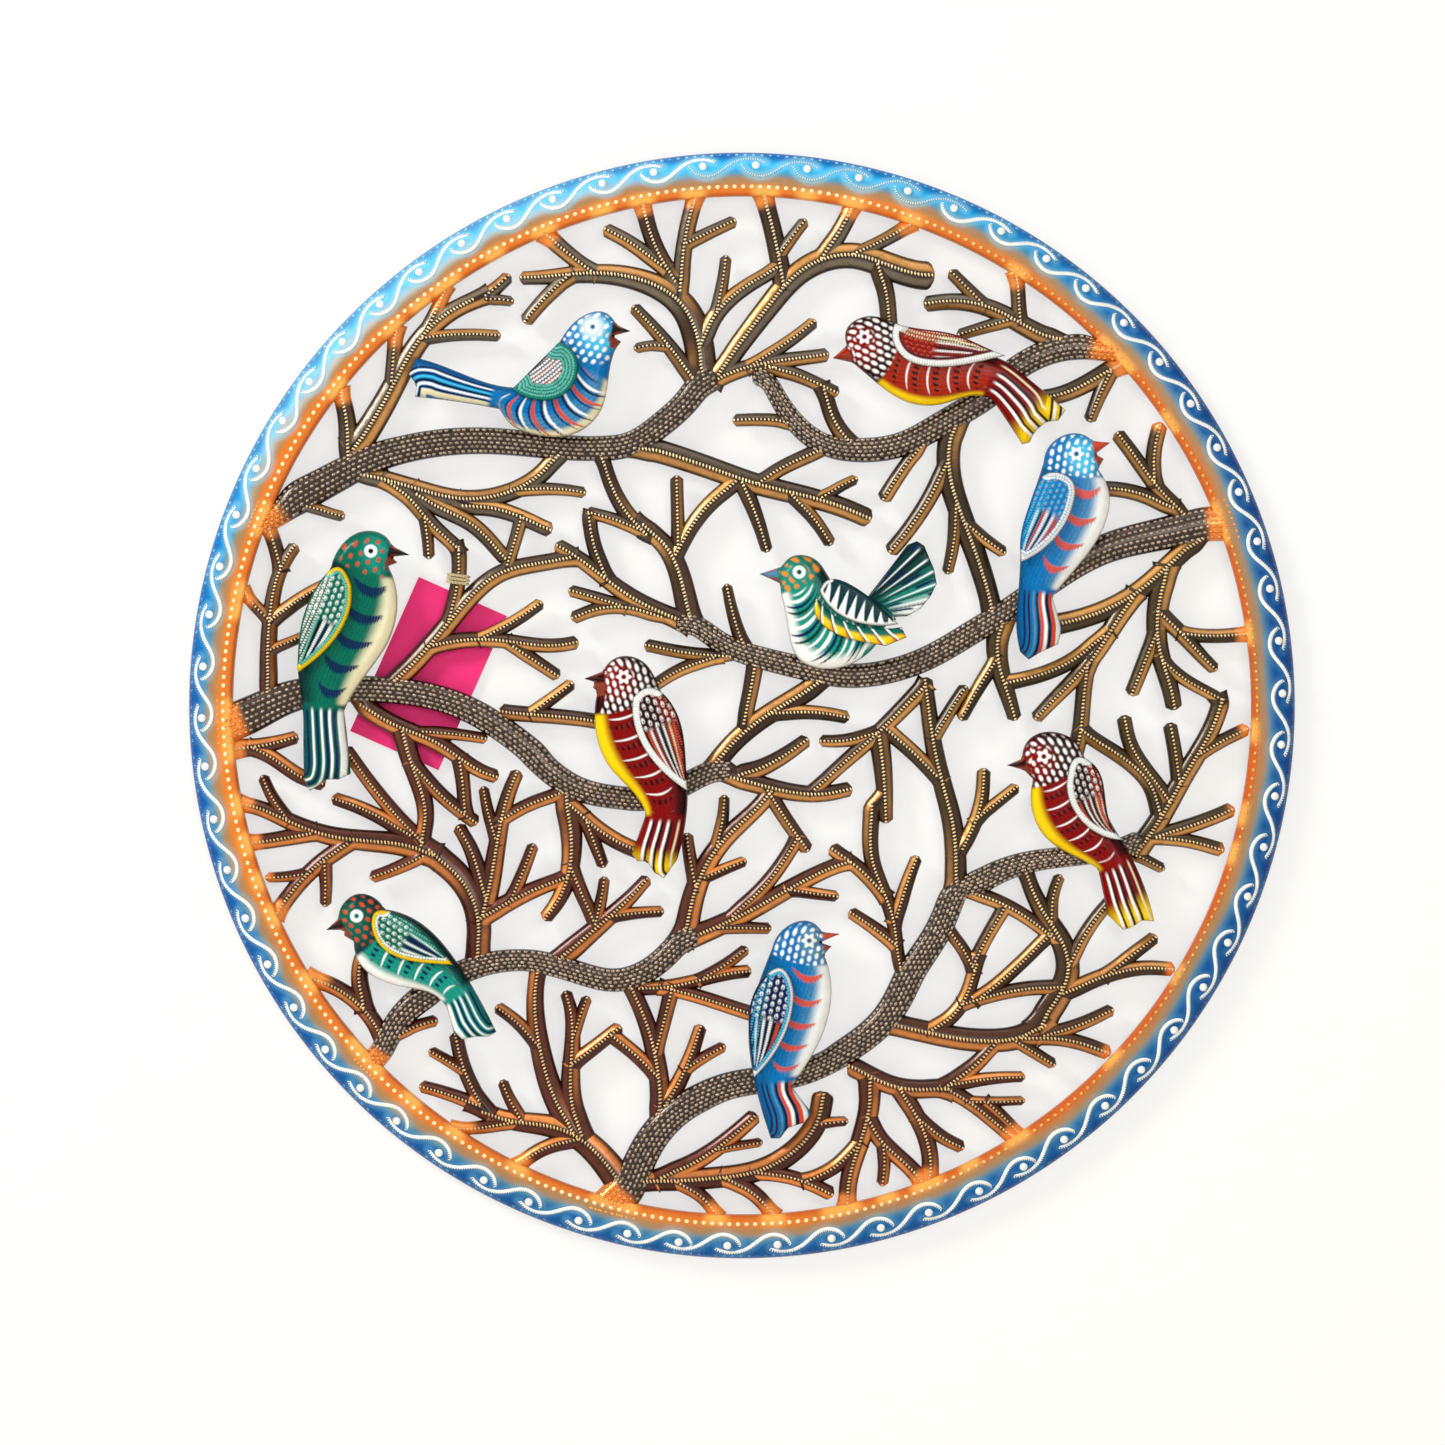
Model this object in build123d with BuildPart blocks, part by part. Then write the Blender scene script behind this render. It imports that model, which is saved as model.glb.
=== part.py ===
# A round wall piece in cut and hammered steel sheet: a formed rim filled with an openwork of bark-covered
# limbs and ridged twigs, with nine formed birds standing in front of it and a card tag tied behind it.
# Millimetres. X is right, Z is up, the front faces -Y, and the wall is the plane Y = 0.
from build123d import *
from math import exp, hypot
import os

os.makedirs("parts", exist_ok=True)

# ---- driving sizes -------------------------------------------------------------------------------------
panel_radius = 292.0        # outer edge of the rim
rim_width = 24.0            # from the rim's outer edge to its cut inner edge
layout_radius = 268.0       # radius of the inner edge in which the branch and bird points below are given
sheet = 1.2                 # thickness of the steel sheet
twig_front = 11.0           # from the wall to the front of the twigs
ridge_height = 0.6          # punched ridge along the middle of each twig
ridge_share = 0.18          # width of a ridge as a share of its twig's width
limb_rise = 1.5             # how far a bark-covered limb stands in front of the twigs
limb_depth = 5.5            # from a limb's front to its folded back edges
rim_rise = 0.5              # how far the rim stands in front of the limbs
rim_return = 7.0            # depth of the edge folded back round the inside of the rim
flare = 0.45                # extra width where a twig springs from its limb
flare_length = 5.0          # distance in which that extra width dies away
bird_gap = 1.0              # air between the limbs and the back edge of a bird
bird_depth = 8.0            # depth of a bird's formed body
bird_step = 2.0             # height and width of the step round a body's raised middle
wing_gap = 1.0              # air between a body and its wing
wing_depth = 3.0            # depth of a formed wing
wing_step = 1.0             # height and width of the step round a wing's raised middle
post_radius = 2.2           # posts that carry the birds
rivet_radius = 1.4          # rivets that carry the wings
tail_gap = 1.2              # air between the twigs and the fan tail that lies behind them
tag_width, tag_height = 51.0, 89.0
tag_card = 0.5              # thickness of the card
tag_wall_gap = 2.0          # air between the wall and the card
tag_tilt = 24.0             # how far the card's foot hangs to the left, in degrees
tag_hole_radius = 2.2
tag_hole_inset = 5.0        # from the card's top edge to the middle of its hole
tag_drop = 11.5             # from the lowest turn of twine down to the middle of the card's hole
twine_radius = 0.8          # twine wound round the twig
twine_pitch = 1.9           # from one turn to the next
twine_turns = 3
loop_radius = 0.5           # single strand through the card's hole
twine_clearance = 0.3       # air between the twine and what it passes
ridge_clearance = 1.0       # least distance between the ridges of two twigs that meet

# ---- what follows from them ----------------------------------------------------------------------------
rim_inner = panel_radius - rim_width
spread = rim_inner / layout_radius
twig_back = twig_front - sheet
ridge_front = twig_front + ridge_height
limb_front = twig_front + limb_rise
rim_front = limb_front + rim_rise
body_back = limb_front + bird_gap
body_front = body_back + bird_depth
wing_back = body_front + wing_gap
tail_back = twig_back - tail_gap - sheet
pad_radius = 1.8 * post_radius


def wall_plane(depth):
    """The plane that lies `depth` in front of the wall, seen from the front."""
    return Plane.XZ.offset(depth)


def placed(x, z):
    return (x * spread, z * spread)


def centre_line(points):
    """A smooth line through the points."""
    spots = [placed(*point) for point in points]
    with BuildLine() as middle:
        Spline(*spots) if len(spots) > 2 else Line(*spots)
    return middle.edges()[0]


def width_at(widths, at):
    return widths[0] + (widths[1] - widths[0]) * at


def stroke(line, widths, narrower=0.0, root_flare=0.0, trims=(0.0, 0.0), round_tip=True):
    """One branch as a face: a width that tapers along a centre line, less a trim at each end."""
    first = trims[0] / line.length
    last = 1 - trims[1] / line.length
    left, right = [], []
    for station in [0.0, 0.12, 0.3, 0.5, 0.7, 0.87, 1.0]:
        at = first + (last - first) * station
        spot, along = line @ at, line % at
        grown = 1 + root_flare * exp(-at * line.length / flare_length)
        half = width_at(widths, at) * grown / 2 - narrower
        left.append((spot.X - along.Y * half, spot.Y + along.X * half))
        right.append((spot.X + along.Y * half, spot.Y - along.X * half))
    with BuildSketch() as face:
        with BuildLine():
            Spline(*left)
            Spline(*right)
            Line(left[0], right[0])
            if round_tip:
                bulge = 0.35 * half
                ThreePointArc(left[-1], (spot.X + along.X * bulge, spot.Y + along.Y * bulge), right[-1])
            else:
                Line(left[-1], right[-1])
        make_face()
    return face.sketch.faces()[0]


def outline(runs):
    """A closed outline from runs of points: a "curve" is smooth, a "line" keeps its corners."""
    with BuildSketch() as face:
        with BuildLine():
            for kind, *points in runs:
                spots = [placed(x, z) for x, z in points]
                Spline(*spots) if kind == "curve" and len(spots) > 2 else Polyline(*spots)
        make_face()
    return face.sketch.faces()[0]


# ---- the limbs: (width at start, width at end), then the centre line -----------------------------------
limbs = {
    "upper_left": [
        ((19, 15), (-252, 101), (-235, 109), (-218, 118), (-200, 127.5), (-183, 134)),
        ((15, 13), (-190, 131.5), (-165, 137.5), (-140, 139.5), (-115, 138), (-90, 135.5), (-66, 136)),
        ((13, 14), (-74, 135.5), (-55, 139), (-40, 150), (-29, 160), (-22, 173)),
    ],
    "left": [
        ((21, 13), (-271, -10), (-255, -3), (-240, 4), (-220, 8), (-200, 9)),
        ((14, 14), (-210, 9), (-185, 8), (-160, 4), (-138, -5), (-120, -17), (-106, -28)),
        ((14, 12), (-114, -21), (-97, -38), (-84, -45), (-70, -48), (-50, -50)),
        ((12, 12), (-60, -49.5), (-43, -48), (-28, -40.5), (-11, -33)),
    ],
    "centre": [
        ((11, 13), (-30, 46), (-18, 38), (-6, 30), (8, 25.5), (28, 20.5), (50, 16)),
        ((13, 13), (40, 18), (62, 15.5), (80, 18.5), (98, 25), (112, 33), (137, 48), (152, 58)),
        ((13, 19), (140, 50), (163, 66), (178, 76), (195, 84), (215, 89), (235, 93.5), (254, 98)),
    ],
    "upper_right": [
        ((9, 13), (13, 177), (18, 163), (28, 149), (40, 138.5), (55, 134.5), (70, 134.5)),
        ((13, 14), (60, 134.5), (77, 135.5), (92, 140.5), (106, 149), (122, 158), (137, 170)),
        ((13, 14), (128, 163), (141, 175), (150, 181), (162, 186.5), (175, 189), (192, 189)),
    ],
    "lower_left": [
        ((11, 15), (-195, -197), (-190, -184), (-184, -170), (-175, -159), (-162, -150)),
        ((14, 11), (-170, -155), (-150, -141.5), (-135, -136), (-118, -134), (-103, -135)),
        ((12, 13), (-112, -134), (-95, -138), (-78, -143), (-64, -145), (-52, -141), (-42, -134), (-31, -121)),
    ],
    "bottom": [
        ((18, 15), (-62, -266), (-58, -250), (-52, -236), (-43, -222), (-30, -211), (-14, -203)),
        ((15, 13), (-22, -206.5), (-8, -200.5), (8, -197.5), (26, -195), (42, -189.5), (56, -182)),
        ((14, 16), (48, -186), (64, -175.5), (75, -165.5), (83, -153), (89, -139)),
        ((15, 14), (86, -146), (94, -133), (102, -121), (108, -108), (112, -94)),
    ],
    "lower_right": [
        ((14, 11), (118, -98), (130, -90), (143, -84.5), (160, -81)),
        ((11, 11), (150, -82), (168, -80), (185, -78), (207, -73)),
    ],
}

# ---- the twigs: (width at start, width at end), how it ends, then the centre line ----------------------
# A "tip" ends free and rounded, a "link" runs into the rim or another branch.
tag_twig = ((9, 8), "link", (-150, 84), (-149, 69), (-151, 57), (-154, 46))    # carries the card tag
tag_station = 0.46                                                           # where the twine is wound
twigs = [
    # upper left, from the limb up along the rim
    ((13, 9), "link", (-205, 133), (-192, 153), (-183, 169), (-172, 189), (-158, 204), (-140, 213)),
    ((9, 8), "tip", (-144, 211), (-133, 217), (-123, 226)),
    ((8, 6.5), "tip", (-146, 209.5), (-134, 213.5), (-121, 212.5)),
    ((9, 9), "link", (-170, 193), (-161, 207), (-156, 222)),
    ((9, 9), "link", (-184, 172), (-183, 188), (-182, 201)),
    ((11, 9), "link", (-208, 130), (-208, 150), (-213, 169)),
    ((7.5, 6.5), "tip", (-168, 193), (-148, 195.2), (-128, 194.5)),
    ((8, 6.5), "tip", (-233, 108), (-221, 102.5), (-210, 99.5)),
    # upper middle: the trunk above the limb and its crown
    ((12, 9), "tip", (-22, 170), (-23, 192), (-30, 209), (-46, 221), (-68, 227), (-92, 226.5), (-116, 225)),
    ((9, 8), "tip", (-92, 225), (-104, 214), (-114, 202)),
    ((9, 10), "link", (-80, 229), (-92, 238), (-106, 251)),
    ((9, 8), "tip", (-44, 232), (-58, 243), (-72, 250.5)),
    ((10, 9), "link", (-34, 222), (-45, 240), (-52, 264)),
    ((10, 9), "link", (-32, 219), (-31, 238), (-24, 269)),
    ((8, 7), "tip", (-29, 243), (-17, 249), (-4, 255)),
    ((10, 8), "link", (-20, 190), (-13, 207), (0, 219), (17, 229)),
    ((8, 6.5), "tip", (-14, 206), (-10.5, 221), (-8.5, 236)),
    ((10, 7), "tip", (-25, 170), (-36, 186), (-46, 198), (-57, 209.5)),
    ((7.5, 6.5), "tip", (-35, 185), (-45, 189.5), (-56, 187.5)),
    ((13, 8), "tip", (-18, 166), (0, 192), (18, 215), (38, 233), (58, 237), (78, 231), (100, 226)),
    ((11, 10), "link", (22, 219), (18.5, 240), (11, 269)),
    ((8, 7), "tip", (19, 236), (26, 246), (33, 255)),
    ((11, 9), "link", (40, 234), (50, 247), (59, 265)),
    ((8, 8), "link", (58, 237.5), (74, 244.5), (91, 255)),
    ((10, 9), "link", (70, 231), (76, 216), (77.5, 200), (81, 184)),
    ((8, 7), "tip", (6, 180), (21, 189), (38, 202)),
    ((10, 7), "tip", (-22, 166), (0, 177), (21, 181.5), (45, 184.5)),
    ((9, 7.5), "tip", (5, 176), (22, 176), (36, 171), (50, 164.5)),
    ((9, 10), "link", (44, 166), (47, 153), (58, 137)),
    ((8, 7), "tip", (27, 149), (11, 150.5), (-4, 150)),
    # upper right, from the rim and from the limb
    ((11, 8.5), "tip", (170, 191), (150, 199), (131, 209), (115, 212.5), (97, 211)),
    ((9, 7.5), "tip", (128, 210), (118, 220), (110, 228)),
    ((8, 6.5), "tip", (142, 203), (129, 199.5), (114, 195)),
    ((9, 9), "link", (146, 202), (145.5, 215), (143.5, 233)),
    ((11, 9), "link", (200, 180), (186, 172), (172, 165), (153, 162)),
    ((10, 7), "tip", (195, 177), (188, 163), (183, 150)),
    ((9, 8), "tip", (232, 102), (220, 113), (208, 129), (197.5, 143)),
    ((9, 9), "link", (219, 112), (216.5, 126), (221, 149)),
    ((9, 8), "link", (226, 103), (212, 110.5), (196, 114), (176, 113)),
    # left, above the left limb
    ((10, 7), "tip", (-249, 8), (-249.5, 25), (-248.5, 45), (-246, 62), (-235, 84)),
    ((9, 9), "link", (-243, 70), (-245.5, 83), (-251, 97)),
    ((9, 7), "link", (-247, 45), (-236, 53.5), (-222, 62), (-204, 68)),
    ((7, 6), "tip", (-247, 30), (-240, 32.5), (-228, 38)),
    ((8, 8), "link", (-249, 46), (-256, 52), (-264, 63)),
    # left middle: the loop under the upper left limb
    ((10, 9), "link", (-206, 123), (-185, 118), (-166, 112.5), (-148, 108.7), (-128, 110.5), (-110, 118.5),
     (-97, 133)),
    ((8, 6.5), "tip", (-118, 113), (-100, 114), (-83, 112)),
    ((10, 8), "link", (-186, 116), (-173, 107), (-164, 96), (-156, 88.5), (-149, 82)),
    tag_twig,
    ((8, 7), "tip", (-167, 98), (-165.5, 88), (-165, 78)),
    ((10, 8), "link", (-170, 111), (-156, 102.5), (-143, 96), (-133, 87), (-124, 76)),
    ((10, 8), "tip", (-146, 104), (-130, 103.5), (-116, 99), (-101, 92)),
    ((8, 8), "link", (-116, 100), (-118.5, 90), (-123, 76)),
    ((11, 8), "link", (-184, 12), (-170, 25), (-154, 44), (-140, 60), (-124, 71), (-108, 74.5), (-92, 77.5)),
    ((9, 7.5), "tip", (-162, 31), (-145, 34.5), (-125, 34), (-105, 31.5), (-87, 33.5)),
    ((8, 7), "tip", (-134, 37), (-122, 43), (-106, 54)),
    ((8.5, 7.5), "tip", (-119, 30), (-109, 23.5), (-97, 15.5)),
    # middle: two trunks between the limbs
    ((11, 8), "tip", (-28, 43), (-44, 49.5), (-60, 58), (-76, 70), (-97, 84)),
    ((9, 6), "tip", (-44, 46), (-60, 51.5), (-75, 51), (-89, 45.5)),
    ((8, 7), "tip", (-66, 53), (-78, 57), (-90.5, 60.5)),
    ((9, 8), "link", (-70, 66), (-77, 81), (-80.5, 102)),
    ((7, 8.5), "link", (-82, 101.5), (-69, 98.5), (-52, 91)),
    ((13, 10), "link", (-27, 44), (-31, 62), (-37, 79), (-52, 93)),
    ((10, 8), "link", (-48, 89), (-62, 103), (-70, 119), (-74, 134)),
    ((9, 9), "link", (-34, 80), (-26, 95), (-15, 108), (-4, 116)),
    ((8, 7.5), "tip", (-33.5, 84), (-34, 102), (-34.5, 120)),
    ((12, 8.5), "tip", (-56, 137), (-36, 131.5), (-14, 124), (6, 117), (28, 111.5), (48, 106), (67, 98)),
    ((10, 6.5), "tip", (0, 117), (7, 101), (13, 81.5)),
    ((8, 6.5), "tip", (44, 110), (52, 115.5), (60, 119)),
    ((9, 6.5), "tip", (26, 110), (38, 98), (46.5, 85)),
    ((9, 8), "link", (40, 134), (29, 129), (19, 124), (9, 116)),
    ((9, 8), "tip", (94, 137), (83, 122), (74.5, 108.5)),
    ((13, 10), "link", (113, 150), (108.5, 130), (111, 113), (117, 96), (125, 74), (132, 48)),
    ((9, 8.5), "tip", (107, 127), (98, 108), (88, 93), (78, 81)),
    ((9, 6.5), "tip", (112, 108), (112, 92), (108, 70)),
    ((9, 7), "tip", (117, 97), (127, 88), (138, 80.5)),
    ((9, 6), "tip", (2, 28), (-4, 45), (-8, 63)),
    ((8, 7), "tip", (-8, 26), (-28, 27.5), (-50.5, 32)),
    ((8, 7), "link", (-16, 24), (-31, 19.5), (-44, 12), (-54, 4)),
    # middle right: from the centre limb and the rim
    ((12, 9), "link", (246, 92), (230, 79), (210, 61), (193, 51), (176, 45), (160, 42)),
    ((13, 8.5), "tip", (225, 73), (219, 52), (219, 32), (224, 14), (227.5, -1)),
    ((9, 8), "tip", (217, 36), (211, 21), (205, 6)),
    ((10, 7), "tip", (221, 47), (230, 39), (240, 28), (249, 19)),
    ((8, 8), "link", (231, 38), (246, 36.5), (266, 38)),
    ((8, 7), "link", (221, 26), (231, 15), (242, 8.5), (254, 2)),
    ((11, 7), "tip", (207, 58), (195, 41), (184, 24), (171, 10), (154.5, -7)),
    ((9, 8), "link", (139, 12), (155, 15.5), (171, 22), (188, 36)),
    ((9, 9), "link", (184, 25), (180, 8), (178.5, -10), (171, -33)),
    ((13, 8), "tip", (139, 47), (134.5, 25), (139, 8), (143.5, -7)),
    ((9, 7), "tip", (134, 24), (126, 12), (115.5, -7)),
    ((8, 9), "link", (177, -12), (191, -21.5), (205, -31), (215, -42), (218, -56)),
    ((9, 12), "link", (253, 9), (249, -8), (242, -22), (231, -40), (221, -58), (206, -78)),
    ((8, 9), "link", (202, -5), (206, -24), (214, -36), (225, -51)),
    ((8, 8.5), "link", (225, -9), (228, -25), (230, -42)),
    ((8, 8), "link", (242, -25), (252, -19), (267, -12)),
    ((9, 8.5), "link", (208, -72), (226, -66.5), (240, -62), (259, -54)),
    ((8, 8), "link", (216, -70), (233, -71), (254, -77)),
    ((8, 6.5), "tip", (202, -76), (212, -81), (221.5, -86)),
    # centre, below the centre limb
    ((10, 9), "link", (7, 22), (4.5, 8), (1, -8)),
    ((11, 11), "link", (41, 12), (25, 2), (9, -8), (-4, -19), (-14, -31)),
    ((9, 7.5), "tip", (15, -5), (35, -3.5), (55.5, -6.5)),
    ((12, 8), "tip", (-16, -35), (4, -35), (18, -29), (34, -18)),
    ((12, 7.5), "tip", (-14, -36), (8, -41.5), (28, -46), (57, -43.5)),
    ((10, 7.5), "link", (98, 12), (87, 1), (72, -14), (56, -28), (40, -43)),
    ((8.5, 7), "tip", (77, -10), (60, -17.5), (41.5, -18.5)),
    ((12, 8), "tip", (72, -16), (74.5, -36), (75.5, -61)),
    ((9, 9), "link", (76, -13), (87, -22), (101, -36)),
    ((8, 12), "link", (96, 15), (99, -8), (103, -32), (110, -58), (112.5, -80), (112, -98)),
    ((8, 7.5), "tip", (103, -14), (110, -2), (117.5, 9.5)),
    ((9, 7.5), "tip", (116, -74), (124, -58), (127, -34)),
    ((8, 7), "tip", (123, -60), (133, -52), (144.5, -43)),
    ((9, 7), "link", (69, -50), (67.5, -70), (70, -88), (78, -106), (81, -124), (85, -143)),
    ((8, 10), "link", (46, -75), (60, -84.5), (72, -97), (79, -112)),
    ((9, 6.5), "tip", (82, -110), (86, -96), (92, -80)),
    ((9, 7), "tip", (81, -126), (70, -117.5), (57, -109)),
    ((9, 8), "tip", (12, -42), (23, -60), (34.5, -76)),
    ((8, 8.5), "link", (29, -70), (19, -86), (6, -101), (-4, -109)),
    # lower right, between the limbs and the rim
    ((8.5, 8), "link", (119, -98), (134, -103), (149, -111), (165, -124)),
    ((10, 11), "link", (149, -84), (153, -98), (163, -116), (172, -136), (167, -152), (154, -170)),
    ((8.5, 6.5), "tip", (165, -119), (163, -104), (167.5, -90)),
    ((7.5, 8.5), "link", (196, -101), (184, -115), (173, -136)),
    ((8, 8), "link", (140, -104), (130, -120), (121, -138)),
    ((8, 8), "link", (106, -117), (114, -125), (122, -142)),
    ((8, 9), "link", (122, -134), (120, -148), (112, -162), (96, -171)),
    ((8, 8), "link", (166, -116), (150, -132.5), (137, -144.5), (122, -156)),
    ((8, 8), "link", (116, -157), (134, -152), (150, -149), (168, -149)),
    ((13, 11), "link", (78, -168), (95, -171.5), (112, -175), (130, -176.5), (148, -174), (160, -164)),
    ((9, 8), "link", (170, -152), (184, -145), (204, -139), (228, -139.5)),
    ((9, 7.5), "tip", (190, -144), (203, -133), (217.5, -122)),
    ((9, 7), "tip", (155, -174), (172, -170), (194.5, -160)),
    ((9, 8), "link", (146, -176), (168, -175.5), (194, -184)),
    ((8, 7), "tip", (145, -177), (155, -183.5), (164, -189)),
    ((12, 9), "link", (52, -187), (66, -194.5), (82, -201), (97, -202), (112, -200)),
    ((11, 8), "link", (104, -201), (118, -193), (127, -185), (135, -174)),
    ((9, 6), "tip", (106, -201), (122, -197.5), (148, -195.5)),
    ((9, 8), "link", (104, -201), (120, -209), (132, -218.5), (146, -230)),
    ((6.5, 5.5), "tip", (122, -208.5), (135, -208.5), (148, -208)),
    ((7, 6), "link", (129, -209), (137, -216), (148, -228)),
    ((10, 9), "link", (80, -199), (90, -213), (97, -228), (97.5, -254)),
    ((9, 7.5), "tip", (91, -213), (102, -225), (116, -232.5)),
    ((12, 9), "link", (65, -193), (67, -211), (62, -230), (57, -246), (56.5, -267)),
    ((10, 9), "link", (67, -214), (75, -231), (85, -240), (96, -254)),
    ((9, 7), "tip", (73, -229), (75, -241), (73.5, -252)),
    ((9, 8), "link", (60, -231), (50, -242), (34, -249.5)),
    # bottom
    ((13, 8), "tip", (-54, -250), (-32, -250), (-8, -248), (14, -243), (31, -231), (40, -218), (42, -204.5)),
    ((8, 6), "tip", (37, -222), (46, -219.5), (55, -219)),
    ((10, 9), "link", (-42, -247), (-26, -241), (-8, -229), (8, -215)),
    ((6, 5.5), "tip", (-10, -233), (0, -231.5), (10, -230)),
    ((9, 8), "tip", (4, -247), (22, -247.5), (34, -251), (47, -257.5)),
    ((8, 8), "link", (-34, -252), (-23, -257), (-11, -275)),
    ((9, 9), "link", (-14, -249), (2, -254), (19, -274)),
    ((15, 9), "link", (-60, -258), (-74, -238), (-90, -225), (-110, -220), (-128, -217), (-142, -204)),
    ((9, 8), "tip", (-138, -208), (-146, -192), (-150.5, -173)),
    ((8, 6.5), "tip", (-144, -194), (-154, -187.5), (-164, -182)),
    ((9, 7), "tip", (-130, -215), (-149, -206.5), (-169, -200.5)),
    ((8, 7.5), "link", (-122, -219), (-136, -222), (-156, -222.5)),
    ((8, 6.5), "tip", (-116, -217), (-122.5, -207), (-126, -198)),
    ((9, 8), "link", (-86, -229), (-104, -233), (-121, -246)),
    ((12, 9), "link", (-84, -228), (-98, -208), (-106, -182), (-109, -160), (-107, -138)),
    ((9, 7), "tip", (-104, -186), (-114, -171), (-129, -159)),
    ((13, 6), "tip", (-82, -227), (-90, -206), (-89.5, -182), (-93, -151)),
    ((8, 7), "tip", (-89, -180), (-86, -166), (-81.5, -154)),
    ((9, 8), "tip", (-91, -190), (-79, -181), (-64.5, -169.5)),
    ((8, 9), "link", (-70, -173), (-58, -182), (-44, -196)),
    ((12, 8.5), "link", (-43, -217), (-44, -194), (-49, -171), (-60, -146)),
    ((8, 9), "link", (-45, -181), (-41, -166), (-37, -149)),
    ((9, 7), "tip", (-64, -146), (-42, -148.5), (-20, -144), (4, -140)),
    ((8, 6.5), "tip", (-22, -143.5), (-8, -136), (2, -128)),
    ((8, 8.5), "link", (-42, -149), (-22, -153.5), (-4, -159.5), (20, -165.5)),
    ((10, 7), "tip", (-40, -210), (-31, -194), (-22, -169)),
    ((8, 6.5), "tip", (-29, -191), (-19, -184.5), (-9.5, -179.5)),
    # lower middle: trunks between the left and lower left limbs
    ((13, 8.5), "link", (-30, -124), (-27, -106), (-20, -86), (-8, -69), (6, -56), (16, -44)),
    ((9, 7), "tip", (-24, -96), (-27, -83), (-29, -68)),
    ((9, 6), "tip", (-14, -74), (-10.5, -62), (-9.5, -48)),
    ((8, 6.5), "tip", (-18, -90), (-9, -86), (1.5, -82)),
    ((12, 8), "link", (-32, -124), (-12, -116), (10, -105), (33, -92), (57, -82)),
    ((8, 6.5), "tip", (26, -97), (38, -99), (50, -100.5)),
    ((8, 6.5), "tip", (-12, -117), (2, -117), (14.5, -117.5)),
    ((13, 7.5), "tip", (-94, -46), (-90, -66), (-91, -88), (-104, -112)),
    ((9, 8), "link", (-90, -85), (-84, -100), (-76, -117)),
    ((10, 9), "link", (-90, -52), (-78, -63.5), (-66, -71.5), (-50, -78)),
    ((9, 7), "tip", (-82, -61), (-77, -74), (-73, -84.5)),
    ((13, 6.5), "tip", (-96, -134), (-80, -120), (-65, -107), (-50, -91)),
    ((8, 6.5), "tip", (-78, -116), (-74.5, -104), (-72.5, -91)),
    ((8, 6.5), "tip", (-72, -112), (-58, -109.5), (-42, -108.5)),
    ((12, 7), "tip", (-137, -110), (-131, -86), (-127, -62), (-118, -35)),
    ((8, 6), "tip", (-130, -68), (-134, -55), (-136, -43.5)),
    ((8, 8), "link", (-127, -61), (-114, -53), (-96, -47)),
    ((11, 8.5), "link", (-138, -113), (-120, -102), (-106, -95.5), (-90, -90)),
    ((8, 6.5), "tip", (-121, -101), (-115, -87), (-110, -73.5)),
    # left, between the left limb and the rim
    ((11, 7), "tip", (-271, -23), (-254, -21.5), (-234.5, -16.5)),
    ((9, 8.5), "link", (-262, -23), (-248, -27), (-235, -36), (-219, -40)),
    ((7, 12), "link", (-270, -52), (-250, -55.5), (-233, -63.5), (-206, -70.5), (-180, -73), (-160, -80.5)),
    ((12, 14), "link", (-168, -76), (-152, -87), (-142, -101), (-138.5, -116), (-141, -134)),
    ((8, 6.5), "tip", (-240, -58), (-247.5, -48), (-252, -37.5)),
    ((10, 8), "link", (-228, -67.5), (-244, -70.5), (-265, -73)),
    ((10, 8.5), "link", (-208, -74), (-224, -84.5), (-236, -97), (-247, -113)),
    ((7.5, 6), "tip", (-228, -88), (-238, -90), (-250, -90.5)),
    ((9, 6.5), "tip", (-220, -82), (-219, -94), (-219.5, -105)),
    ((8.5, 7), "tip", (-168, -79), (-180, -85), (-195, -90.5)),
    ((8.5, 7), "link", (-168, -72), (-187, -52), (-198, -38), (-209, -22)),
    ((9, 7.5), "tip", (-176, -68), (-194, -57), (-215, -49)),
    ((12, 8), "link", (-178, -12), (-173, -33), (-167, -52), (-171, -74)),
    ((9, 8), "tip", (-171, -33), (-157, -48.5), (-140, -61.5)),
    ((11, 7.5), "tip", (-201, 2), (-180, -11.5), (-158, -21), (-143, -31.5), (-129, -37.5)),
    ((8, 6.5), "tip", (-166, -14), (-152, -15), (-135, -17.5)),
    ((9, 8), "link", (-149, -27), (-147, -40), (-146, -56)),
    ((7.5, 11), "link", (-150.5, -63), (-143, -75), (-138, -90), (-134, -106)),
    ((9, 8), "link", (-138, -2), (-115, -4.5), (-90, -6.5), (-62, -12)),
    ((8, 7), "tip", (-112, -5), (-101, 3), (-89.5, 11.5)),
    ((9, 9), "link", (-234, -143), (-212, -149.5), (-198, -161), (-188, -180)),
    ((10, 8), "link", (-190, -172), (-199, -156), (-201, -136), (-187, -119)),
    ((9, 6.5), "tip", (-181, -173), (-171, -168.5), (-161, -166)),
    # stubs that end behind the birds and carry them
    ((11, 9), "link", (-107, 137), (-104, 152), (-101, 170)),
    ((11, 9), "link", (48, 16), (47, 32), (46, 49)),
]

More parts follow.
